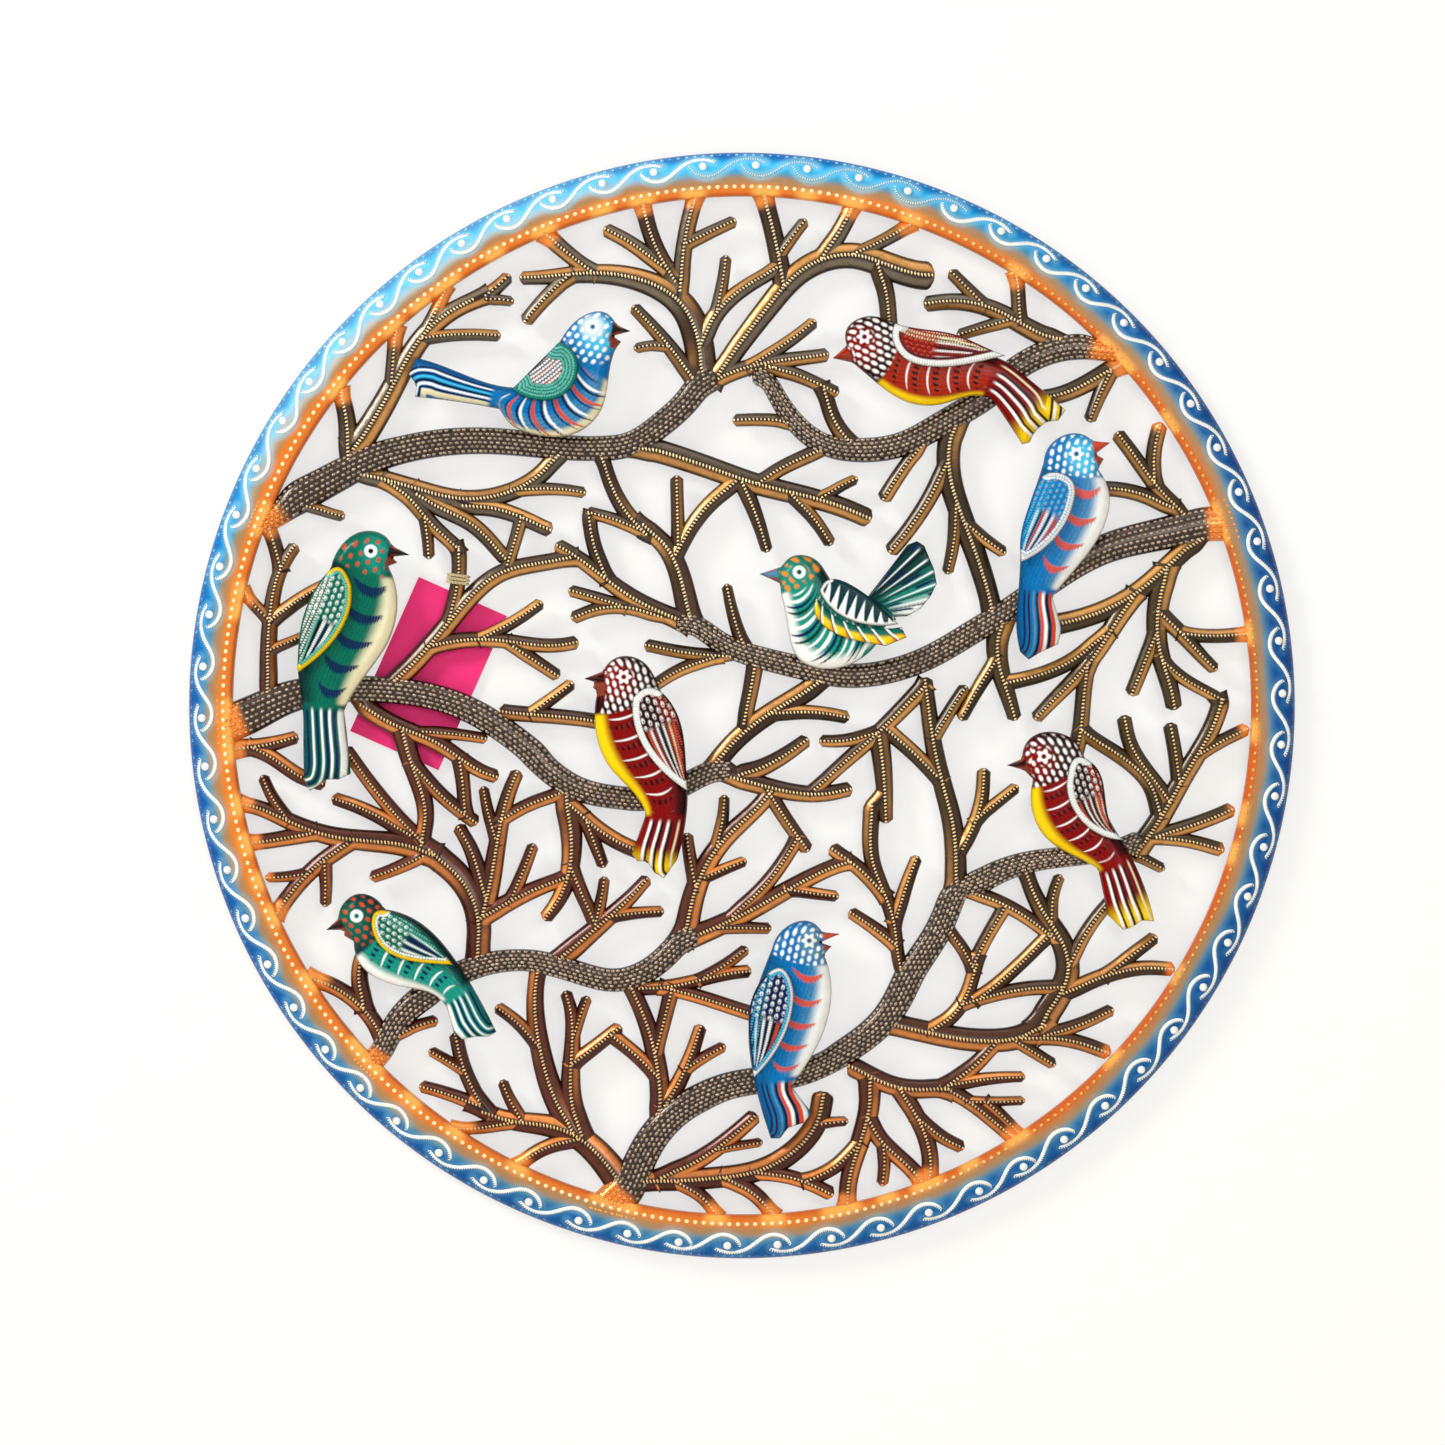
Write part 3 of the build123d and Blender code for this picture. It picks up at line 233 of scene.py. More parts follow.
class Heap:
    # Gathers shapes into one mesh: points, faces and a colour for each point.
    def __init__(self):
        self.points, self.quads, self.triangles, self.paint, self.size = [], [], [], [], 0

    def add(self, points, quads, triangles, paint):
        self.points.append(points)
        self.quads.append(np.asarray(quads, int).reshape(-1, 4) + self.size)
        self.triangles.append(np.asarray(triangles, int).reshape(-1, 3) + self.size)
        self.paint.append(np.broadcast_to(np.asarray(paint, float), (len(points), 3)))
        self.size += len(points)

    # A closed skin over rings of points, coloured point by point; its two end points take their ring's mean colour.
    def addSkin(self, rings, colours):
        points, quads, caps = skinOf(rings)
        quads, caps = outwards(points, quads, caps)
        colours = np.broadcast_to(colours, rings.shape)
        ends = [colours[0].mean(axis=0), colours[-1].mean(axis=0)]
        self.add(points, quads, caps, np.vstack([colours.reshape(-1, 3), *ends]))

    def make(self, name, material, body="panel", slot=None, replaces=()):
        points = np.vstack(self.points)
        quads, triangles = np.vstack(self.quads), np.vstack(self.triangles)
        world = np.column_stack([points[:, 0], -points[:, 2], points[:, 1]]) * metre
        mesh = bpy.data.meshes.new(name)
        mesh.vertices.add(len(world))
        mesh.vertices.foreach_set("co", world.astype(np.float32).ravel())
        corners = np.concatenate([quads.ravel(), triangles.ravel()])
        mesh.loops.add(len(corners))
        mesh.loops.foreach_set("vertex_index", corners.astype(np.int32))
        starts = np.concatenate([np.arange(len(quads)) * 4, len(quads) * 4 + np.arange(len(triangles)) * 3])
        mesh.polygons.add(len(starts))
        mesh.polygons.foreach_set("loop_start", starts.astype(np.int32))
        mesh.update(calc_edges=True)
        mesh.polygons.foreach_set("use_smooth", np.ones(len(starts), bool))
        colour = mesh.color_attributes.new("paint", "FLOAT_COLOR", "POINT")
        colour.data.foreach_set("color", np.column_stack([np.vstack(self.paint), np.ones(len(world))]).ravel())
        mesh.validate()
        piece = bpy.data.objects.new(name, mesh)
        bpy.context.scene.collection.objects.link(piece)
        mesh.materials.append(material)
        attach(piece, body)
        if replaces:
            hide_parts(*replaces)
        print(name, "faces", len(starts))


# Low domes set along lines: a ring, a smaller raised ring and a top. Each has a centre (x, z, depth), a
# heading (x, z), a half length, a half width and a height.
def addDomes(heap, centres, headings, halfLengths, halfWidths, heights, paint, sides=8, shade=0.6):
    centres = np.asarray(centres, float)
    count = len(centres)
    if not count:
        return
    headings = unitOf(headings)
    beside = leftOf(headings)
    turn = np.arange(sides) / sides * 2 * np.pi
    rings = []
    for share, lift in ((1.0, 0.0), (0.72, 0.68)):
        flat = (headings[:, None] * (np.cos(turn)[None, :, None] * share * np.reshape(halfLengths, (-1, 1, 1)))
                + beside[:, None] * (np.sin(turn)[None, :, None] * share * np.reshape(halfWidths, (-1, 1, 1))))
        rise = np.broadcast_to(np.reshape(heights, (-1, 1, 1)) * lift, (count, sides, 1))
        rings.append(np.concatenate([flat, rise], axis=2))
    top = np.broadcast_to(np.concatenate([np.zeros((count, 2)), np.reshape(heights, (-1, 1)) * np.ones((count, 1))],
                                         axis=1)[:, None], (count, 1, 3))
    shape = np.concatenate(rings + [top], axis=1) + centres[:, None]
    ring = np.arange(sides)
    quads = np.column_stack([ring, np.roll(ring, -1), np.roll(ring, -1) + sides, ring + sides])
    triangles = np.column_stack([ring + sides, np.roll(ring, -1) + sides, np.full(sides, 2 * sides)])
    base = np.column_stack([np.zeros(sides - 2, int), ring[2:], ring[1:-1]])
    triangles = np.vstack([triangles, base])
    quads, triangles = outwards(shape[0], quads, triangles)
    each = 2 * sides + 1
    offset = np.arange(count)[:, None, None] * each
    colour = np.repeat(np.broadcast_to(np.asarray(paint, float), (count, 3))[:, None], each, axis=1).copy()
    # the foot ring is darkened by shade: painted shade where each dome meets the sheet and between neighbouring domes
    colour[:, :sides] *= shade
    heap.add(shape.reshape(-1, 3), (quads[None] + offset).reshape(-1, 4), (triangles[None] + offset).reshape(-1, 3),
             colour.reshape(-1, 3))


class Wire:
    # A socket in a node tree; arithmetic on it adds the Math nodes.
    def __init__(self, tree, socket):
        self.tree, self.socket = tree, socket

    def maths(self, operation, *values):
        return self.tree.node("ShaderNodeMath", {"operation": operation}, dict(enumerate(values)))

    def __add__(self, other):
        return self.maths("ADD", self, other)

    def __mul__(self, other):
        return self.maths("MULTIPLY", self, other)

    __radd__, __rmul__ = __add__, __mul__


class Finish:
    # A node material: node() adds any node, its settings first and then its socket values or links.
    def __init__(self, name, **fixed):
        self.material = bpy.data.materials.new(name)
        self.material.use_nodes = True
        self.nodes, self.links = self.material.node_tree.nodes, self.material.node_tree.links
        self.nodes.clear()
        self.shader = self.nodes.new("ShaderNodeBsdfPrincipled")
        end = self.nodes.new("ShaderNodeOutputMaterial")
        self.links.new(self.shader.outputs[0], end.inputs[0])
        for socket, value in fixed.items():
            self.shader.inputs[socket].default_value = value

    def node(self, kind, settings=None, sockets=None, output=0):
        made = self.nodes.new(kind)
        for name, value in (settings or {}).items():
            if name == "stops":
                ramp = made.color_ramp.elements
                while len(ramp) < len(value):
                    ramp.new(0.5)
                for stop, (place, colour) in zip(ramp, value):
                    stop.position, stop.color = place, (*colour, 1)
            else:
                setattr(made, name, value)
        for name, value in (sockets or {}).items():
            if isinstance(value, Wire):
                self.links.new(value.socket, made.inputs[name])
            else:
                made.inputs[name].default_value = value
        return Wire(self, made.outputs[output])

    def feed(self, socket, wire):
        self.links.new(wire.socket, self.shader.inputs[socket])

    def noise(self, scale, detail=3.0):
        where = self.node("ShaderNodeTexCoord", output=3)
        return self.node("ShaderNodeTexNoise", {}, {"Vector": where, "Scale": scale, "Detail": detail})

    # A colour times a grey of the given value.
    def shaded(self, colour, shade):
        grey = self.node("ShaderNodeCombineColor", {}, {0: shade, 1: shade, 2: shade})
        return self.node("ShaderNodeMix", {"data_type": "RGBA", "blend_type": "MULTIPLY"},
                         {0: 1.0, 6: colour, 7: grey}, 2)

    # The sum of three yes-or-no values: 1 for a ray that shows the background directly, in a mirror or through glass.
    def plainRays(self):
        self.node("ShaderNodeLightPath")
        kinds = ("Is Camera Ray", "Is Glossy Ray", "Is Transmission Ray")
        camera, mirror, glass = [Wire(self, self.nodes[-1].outputs[kind]) for kind in kinds]
        return camera + mirror + glass

    def bump(self, height, distance, strength=1.0):
        self.feed("Normal", self.node("ShaderNodeBump", {}, {"Strength": strength, "Distance": distance,
                                                             "Height": height}))


# Brushed-on enamel over hammered sheet: the painted colour, worn and mottled, under a thin varnish.
def enamel(name, mottle=0.25, scale=220.0, roughness=0.34, metallic=0.0, coat=0.35, shine=0.12, bumpHeight=0.00025):
    finish = Finish(name, **{"Coat Weight": coat, "Coat Roughness": 0.12, "Metallic": metallic,
                             "Specular IOR Level": shine})
    paint = finish.node("ShaderNodeAttribute", {"attribute_name": "paint"})
    fine, broad = finish.noise(scale), finish.noise(scale * 0.16, 2.0)
    shade = 1.0 - mottle + (fine * 0.6 + broad * 0.4) * (2 * mottle)
    finish.feed("Base Color", finish.shaded(paint, shade))
    finish.feed("Roughness", roughness - 0.1 + fine * 0.2)
    finish.bump(fine * 0.5 + broad, bumpHeight)
    return finish.material


twigFinish = enamel("bronzePaint", mottle=0.4, scale=260.0, roughness=0.3, metallic=0.35, coat=0.3, shine=0.2,
                    bumpHeight=0.0005)
barkFinish = enamel("barkPaint", mottle=0.3, scale=300.0, roughness=0.26, metallic=0.45, coat=0.3, shine=0.2)
rimFinish = enamel("rimPaint", mottle=0.16, scale=120.0, roughness=0.3, coat=0.04, shine=0.05)
featherFinish = enamel("featherPaint", mottle=0.14, scale=200.0, roughness=0.26, coat=0.08, shine=0.06,
                       bumpHeight=0.0004)


twigLook = {
    "ridgeShare": 0.18,      # a ridge is this share of its twig's width
    "beadPitch": 1.8,        # from bead to bead along the ridge
    "step": 1.7,             # length between rings
    "edge": paintOf(22, 15, 10),
    "flank": paintOf(70, 50, 26),
    "gold": paintOf(212, 160, 92),
    "bead": paintOf(255, 228, 172),
    "silver": paintOf(150, 140, 120),
    "rust": paintOf(112, 38, 10), "ember": paintOf(224, 124, 52),
    "moss": paintOf(104, 96, 44),
}
limbLook = {
    "step": 2.0,
    "ricePitch": 3.15,       # along, from grain to grain
    "riceRows": 2.05,        # across, from row to row
    "bark": paintOf(70, 56, 46),
    "rice": paintOf(170, 153, 134),
    "joint": paintOf(234, 146, 66),
}

panelNode = readNode("openwork_panel")
spots, triangles = panelNode
flat = triangles[np.ptp(spots[triangles][:, :, 2], axis=1) < 0.01]
levels, counts = np.unique(np.round(spots[flat[:, 0], 2], 2), return_counts=True)
twigDepth, ridgeDepth, limbDepth = levels[counts > 600][-3:]
rimDepth = levels[-1]
print("front levels", twigDepth, ridgeDepth, limbDepth, rimDepth)
rimInner = sizeOf(spots[np.abs(spots[:, 2] - rimDepth) < 0.02][:, :2]).min()
rimReach = rimInner - 12     # a branch that ends further out than this runs into the rim

ridgeLoops = [loop for loop in outlinesAt(panelNode, ridgeDepth)
              if sizeOf(loop).min() < rimInner and lengthOf(loop) > 6]
limbLoops = [loop for loop in outlinesAt(panelNode, limbDepth)
             if lengthOf(loop) > 120 and sizeOf(loop).min() < rimInner - 5]
print("ridges", len(ridgeLoops), "limbs", len(limbLoops))

frontFaces = spots[flat][(spots[flat][:, 0, 2] > twigDepth - 0.05)][:, :, :2]


# Whether each place lies on the sheet: inside any of the front's triangles.
def onSheet(places):
    a, b, c = frontFaces[:, 0], frontFaces[:, 1], frontFaces[:, 2]
    found = np.zeros(len(places), bool)
    for part in np.array_split(np.arange(len(places)), max(1, len(places) // 60)):
        p = places[part][:, None]
        sides = [(q[:, 0] - o[:, 0]) * (p[..., 1] - o[:, 1]) - (q[:, 1] - o[:, 1]) * (p[..., 0] - o[:, 0])
                 for o, q in ((a, b), (b, c), (c, a))]
        found[part] = ((np.minimum.reduce(sides) > -1e-6) | (np.maximum.reduce(sides) < 1e-6)).any(axis=1)
    return found


marchSteps = np.arange(0.5, 14.1, 0.5)


# How a line goes on from its end: as a bare tip, into the rim or to another branch's middle; and how far, which
# way and where it lands.
def goingOn(line, otherSpots):
    heading = unitOf(line[-1] - line[-4])
    march = line[-1] + heading * marchSteps[:, None]
    inside = onSheet(march) | (sizeOf(march) > rimInner - 0.5)
    run = marchSteps[-1] if inside.all() else marchSteps[inside.argmin()] - 0.5
    if run < 3.6:
        return "tip", max(run, 0.8), heading, line[-1] + heading * max(run, 0.8)
    near = sizeOf(march[:, None] - otherSpots).min(axis=1)
    near = np.where(marchSteps <= run, near, 1e6)
    reach = marchSteps[near.argmin()] + 1.0
    toRim = marchSteps[np.abs(sizeOf(march) - rimInner - 2.0).argmin()]
    if sizeOf(line[-1]) > rimInner - 9 and (line[-1] * heading).sum() > 0:
        return "rim", toRim, heading, line[-1] + heading * toRim
    reach = min(reach, 9.0)
    landing = line[-1] + heading * reach
    target = otherSpots[sizeOf(otherSpots - landing).argmin()]
    return "link", reach, heading, target + heading * 1.5 if sizeOf(target - landing) < 9 else landing


ridgeLines, ridgeWidths = [], []
for loop in ridgeLoops:
    line, across = foldOutline(loop)
    core = across > 0.35 * np.median(across)
    first, last = core.argmax(), len(core) - core[::-1].argmax()
    line, across = line[first:last], across[first:last]
    count = max(5, int(lengthOf(line) / twigLook["step"]))
    at = np.linspace(0, len(line) - 1, count)
    index = np.arange(len(line))
    line, across = readAt(at, index, line), np.interp(at, index, across)
    across = np.polyval(np.polyfit(at, across, 1), at) / twigLook["ridgeShare"]
    if across[0] < across[-1]:
        line, across = line[::-1], across[::-1]
    ridgeLines.append(smoothed(line, 2))
    ridgeWidths.append(np.clip(across, 4.0, 16.0))

limbLines, limbWidths = [], []
for loop in limbLoops:
    line, across = foldOutline(loop, 400)
    line = evenly(line[across > 4.0], int(lengthOf(line) / limbLook["step"]))
    line, across = centreIn(loop, line)
    across[:4], across[-4:] = across[4], across[-5]
    line = smoothed(line, 6)
    limbLines.append(line)
    limbWidths.append(smoothed(across, 6))
    print("limb", np.round(line[0]), np.round(line[-1]), "width", np.round(across.min(), 1),
          np.round(across.max(), 1))


# A branch's rings: a template of (across, depth) carried along a centre line, as wide as it is at each point.
def sweptRings(line, halves, across, depths):
    normal = leftOf(unitOf(np.gradient(line, axis=0)))
    sides = line[:, None] + normal[:, None] * (halves[:, None] * across)[:, :, None]
    return np.concatenate([sides, np.broadcast_to(depths, sides.shape[:2])[:, :, None]], axis=2), normal


# Branch paint turning into the rim's orange over the last few millimetres.
def meetingRim(colours, places):
    near = ease(sizeOf(places), rimInner - 7, rimInner - 3)
    return mixed(colours, limbLook["joint"], near.reshape(-1, *[1] * (colours.ndim - 2)))


# How rusty, mossy and silvery the paint is at a place on the panel; the silver, towards the upper left where the
# light comes from, is partly silver-grey paint and partly painted highlight.
def tints(places):
    x, z = places[..., 0], places[..., 1]
    rust = ease(-z - 0.5 * x, -30, 170) * 0.75 + 0.1
    moss = ease(x + 0.1 * z, 0, 200) * 0.6
    silver = ease(z - 0.45 * x, 40, 260) * 0.6
    return rust, moss, silver


twigAcross = np.array([-1.0, -1.0, -0.9, -0.66, -0.4, -0.17, 0.0, 0.17, 0.4, 0.66, 0.9, 1.0, 1.0,
                       0.8, 0.55, 0.0, -0.55, -0.8])
twigRise = np.array([-5.2, -3.4, -2.0, -1.0, -0.35, 0.15, 0.3, 0.15, -0.35, -1.0, -2.0, -3.4, -5.2,
                     -5.2, -3.2, -2.2, -3.2, -5.2])
branchStep = 1.5         # between the places that stand for a branch's middle when another one looks for it
beadSpots, beadHeadings, beadSizes, beadPaints = [], [], [], []
quarters = {"upperLeft": Heap(), "upperRight": Heap(), "lowerLeft": Heap(), "lowerRight": Heap()}
allRidge = [evenly(line, max(3, int(lengthOf(line) / branchStep))) for line in ridgeLines]
allLimb = [evenly(line, int(lengthOf(line) / branchStep)) for line in limbLines]

for number, (line, across) in enumerate(zip(ridgeLines, ridgeWidths)):
    others = np.vstack([other for index, other in enumerate(allRidge) if index != number] + allLimb)
    near = others[sizeOf(others - line.mean(axis=0)) < lengthOf(line) / 2 + 24]
    near = near if len(near) else others[:2]
    ends = [goingOn(line[::-1], near), goingOn(line, near)]
    step = twigLook["step"]
    before, after = [[spot + (landing - spot) * share for share in np.arange(1, 0.05, -step / 2 / reach)]
                     for spot, (_, reach, _, landing) in zip((line[0], line[-1]), ends)]
    path = np.vstack([*before, line, *after[::-1]])
    halves = np.concatenate([np.full(len(before), across[0]), across, np.full(len(after), across[-1])]) / 2
    fresh = evenly(path, max(6, int(lengthOf(path) / step)))
    halves = stretched(halves, len(fresh))
    path = smoothed(fresh)
    run = runOf(path)
    wide = halves
    for end, away in zip(ends, (run, run[-1] - run)):
        wide = wide * (roundOff(away, 0.55 * halves, 0.12) if end[0] == "tip" else 1 + 0.3 * np.exp(-away / 4.0))
    rings, normal = sweptRings(path, wide, twigAcross, twigDepth + twigRise)
    # the flank that looks down and right is brushed with gold and lighter, the other dark: gold paint, and also
    # painted light on the one flank and painted shade on the other; three twigs in ten swap sides
    side = np.abs(twigAcross)
    facing = normal @ np.array([0.3, -0.95]) * (1 if rng.random() > 0.3 else -1)
    lit = np.sign(twigAcross) * facing[:, None]
    golden = ease(lit, 0.0, 0.7) * ease(side, 0.16, 0.4) * ease(-side, -0.98, -0.7)
    rust, moss, silver = tints(path)
    tone = rng.uniform(0.75, 1.25)
    flank = mixed(mixed(twigLook["flank"], twigLook["rust"], rust * 0.6), twigLook["moss"] * 0.5, moss * 0.6)
    gold = mixed(mixed(twigLook["gold"], twigLook["ember"], rust * 0.7), twigLook["moss"], moss * 0.3)
    skin = mixed(flank[:, None], gold[:, None], golden * (1 - 0.5 * silver[:, None])) * tone
    # silver on the flank that faces up and left, in the silvery upper left: painted highlight over silver-grey paint
    silverAndSheen = silver[:, None] * ease(-lit, 0.0, 0.8) * ease(side, 0.16, 0.4) * ease(-side, -0.9, -0.6)
    skin = mixed(skin, twigLook["silver"], silverAndSheen)
    # dark paint at the folded edges, partly painted shade where the sheet turns back; darker beside the ridge too,
    # painted shade under the beads
    skin = mixed(skin, twigLook["edge"], np.maximum(ease(side, 0.78, 0.98), ease(-side, -0.3, -0.14) * 0.8)[None])
    middle = path.mean(axis=0)
    quarter = ("upper" if middle[1] > 0 else "lower") + ("Left" if middle[0] < 0 else "Right")
    quarters[quarter].addSkin(rings, meetingRim(skin, path))
    # beads along the ridge, between its own ends
    length = lengthOf(line) + sum(end[1] * 0.6 for end in ends)
    reach = np.vstack([line[0] + ends[0][2] * ends[0][1] * 0.6, line, line[-1] + ends[1][2] * ends[1][1] * 0.6])
    beads = evenly(reach, max(2, int(length / twigLook["beadPitch"])))
    heading = np.gradient(beads, axis=0)
    heading = heading + 0.3 * leftOf(heading)
    beadSpots.append(np.column_stack([beads, np.full(len(beads), twigDepth + 0.05)]))
    beadHeadings.append(heading)
    beadSizes.append(np.clip(stretched(across, len(beads)) * 0.15, 0.85, 1.6))
    rust, moss, silver = tints(beads)
    bead = mixed(mixed(twigLook["bead"], twigLook["gold"], rust * 0.6), twigLook["gold"], moss * 0.4)
    # paler towards the upper left: partly silvery paint, partly painted highlight
    beadPaints.append(mixed(bead, paintOf(244, 232, 206), silver * 0.5) * rng.uniform(0.8, 1.15, (len(beads), 1)))
print("twigs", len(ridgeLines))

beadHeaps = {"left": Heap(), "right": Heap()}
beadSpots, beadHeadings = np.vstack(beadSpots), np.vstack(beadHeadings)
beadSizes, beadPaints = np.concatenate(beadSizes), np.vstack(beadPaints)
for name, chosen in (("left", beadSpots[:, 0] < 0), ("right", beadSpots[:, 0] >= 0)):
    addDomes(beadHeaps[name], beadSpots[chosen], beadHeadings[chosen], 0.66, beadSizes[chosen] * 0.85, 1.1,
             beadPaints[chosen], sides=6, shade=0.25)
    beadHeaps[name].make(name + "Beads", twigFinish, slot="panel")
for name, heap in quarters.items():
    heap.make(name + "Twigs", twigFinish, slot="panel", replaces=["openwork_panel"] if name == "upperLeft" else ())

# limbs: a rounded trunk under rows of raised bark
limbAcross = np.array([-1.0, -1.0, -0.93, -0.78, -0.55, -0.28, 0.0, 0.28, 0.55, 0.78, 0.93, 1.0, 1.0,
                       0.82, 0.55, 0.0, -0.55, -0.82])
limbRise = np.array([-6.5, -4.6, -3.0, -1.5, -0.4, 0.25, 0.45, 0.25, -0.4, -1.5, -3.0, -4.6, -6.5,
                     -6.5, -4.0, -2.4, -4.0, -6.5])
limbHeap, riceHeap = Heap(), Heap()
for line, across in zip(limbLines, limbWidths):
    halves = across / 2
    # each end goes on straight, further where it runs into the rim; turning the line brings the other end last
    for _ in range(2):
        line, halves = line[::-1], halves[::-1]
        onward = np.arange(2, 8 if sizeOf(line[-1]) > rimReach else 5, 2.0)[:, None]
        line = np.vstack([line, line[-1] + unitOf(line[-1] - line[-4]) * onward])
        halves = np.concatenate([halves, np.full(len(onward), halves[-1])])
    run = runOf(line)
    wide = halves
    for end, away in ((line[0], run), (line[-1], run[-1] - run)):
        if sizeOf(end) < rimReach:
            wide = wide * roundOff(away, 0.9 * halves, 0.1)
    rings, normal = sweptRings(line, wide, limbAcross, limbDepth + limbRise)
    # darker at the sides: dark paint, partly painted shade where the limb's sides turn back
    skin = mixed(limbLook["bark"], twigLook["edge"], ease(np.abs(limbAcross), 0.85, 1.0)[None])
    limbHeap.addSkin(rings, meetingRim(skin, line))
    # staggered rows of raised rice grains
    count = int(run[-1] / limbLook["ricePitch"])
    rows = int(np.median(halves) * 2 / limbLook["riceRows"])
    for row in range(rows):
        share = (row + 0.5) / rows * 2 - 1
        at = (np.arange(count) + 0.5 * (row % 2) + 0.25) * limbLook["ricePitch"]
        at = at + rng.normal(0, 0.36, len(at))
        at = at[(at > 1.0) & (at < run[-1] - 1.0)]
        middle, beside = readAt(at, run, line), readAt(at, run, normal)
        places = middle + beside * (np.interp(at, run, wide) * share * 0.93)[:, None]
        rise = np.interp(share * 0.93, limbAcross[1:12], limbRise[1:12])
        shade = rng.uniform(0.6, 1.3, (len(at), 1))
        # silvery towards the upper left: partly paint, partly painted highlight
        colour = mixed(limbLook["rice"], twigLook["silver"], tints(places)[2] * 0.7) * shade
        addDomes(riceHeap, np.column_stack([places, np.full(len(at), limbDepth + rise - 0.12)]), -leftOf(beside),
                 1.48, 0.93, 1.0, meetingRim(colour, middle), sides=7, shade=0.4)
limbHeap.make("limbs", barkFinish, slot="panel")
riceHeap.make("barkGrains", barkFinish, slot="panel")


rimLook = {
    "units": 66, "first": 1.3,          # scrolls round the rim, and the angle of the first one's boss
    "columns": 1440,
    "innerBead": (272.6, 4.5, 1.25),    # radius of the row, pitch, half width
    "outerBead": (289.6, 4.4, 0.95),
    "bossRadius": 283.8, "scrollRadius": 285,
    "jointRows": (269.9, 275.6),        # two arcs of beads over the foot of each thick branch
    "orange": paintOf(224, 136, 58), "orangeDeep": paintOf(204, 104, 48), "low": paintOf(8, 104, 168),
    "orangeLight": paintOf(250, 182, 96),
    "blend": paintOf(176, 140, 100), "slate": paintOf(98, 148, 168),        # the smoky band between orange and blue
    "azure": paintOf(20, 184, 238), "cobalt": paintOf(0, 104, 176), "navy": paintOf(0, 62, 128),
    "cream": paintOf(255, 234, 186), "halo": paintOf(150, 216, 238), "white": paintOf(244, 244, 238),
}
# the scroll's line as (degrees round from its boss, radius)
scroll = np.array([(1.45, 284.2), (1.25, 282.2), (0.75, 279.9), (0.0, 278.5), (-0.65, 278.3), (-1.4, 279.4),
                   (-2.05, 281.5), (-2.7, 283.9), (-3.25, 285.6), (-4.0, 287.1), (-4.75, 287.7), (-5.6, 287.4),
                   (-6.2, 286.6), (-6.5, 285.7)])
rimFront = np.array([(268.0, 6.0), (267.95, 9.5), (268.15, 12.0), (268.9, 12.85), (270.2, 13.1), (272.6, 13.2),
                     (276, 13.2), (279, 13.25), (281.4, 13.1), (284.0, 12.3), (286.6, 10.7), (288.7, 8.5),
                     (290.3, 5.8), (291.4, 2.9), (291.9, 0.2)])
rimBack = np.array([(290.6, 0.2), (289.9, 2.7), (288.6, 5.2), (286.9, 7.4), (284.6, 9.4), (281.2, 11.4),
                    (276, 11.8), (270.4, 11.6), (269.25, 10.8), (269.15, 6.0)])


# Places on a circle about the middle: (x, z) at an angle in degrees and a radius.
def around(angle, radius):
    turn = np.radians(angle)
    return np.stack([np.cos(turn) * radius, np.sin(turn) * radius], axis=-1)


# The depth of the rim's front at a radius, from its profile.
def rimHeight(radius):
    return np.interp(radius, rimFront[2:, 0], rimFront[2:, 1])


# Places (x, z) with the depth that the rim's front has at a radius, plus a lift.
def onRim(places, radius, lift):
    return np.column_stack([places, np.broadcast_to(rimHeight(radius) + lift, len(places))])


# Where branches meet the rim: (angle, half width), both in degrees.
meets = []
for line, widths in zip(ridgeLines + limbLines, ridgeWidths + limbWidths):
    for end, width in ((line[0], widths[0]), (line[-1], widths[-1])):
        if sizeOf(end) > rimReach:
            meets.append((np.degrees(np.arctan2(end[1], end[0])), np.degrees(width / 2 / rimInner)))
meets = np.array(meets)
print("branches at the rim", len(meets))


# How near each angle is to a branch's foot, from 0 to 1: its distance less the foot's half width, eased.
def nearMeet(angle):
    apart = np.abs((angle[:, None] - meets[None, :, 0] + 180) % 360 - 180)
    return ease(-(apart - meets[:, 1]), -1.1, 0.3).max(axis=1)
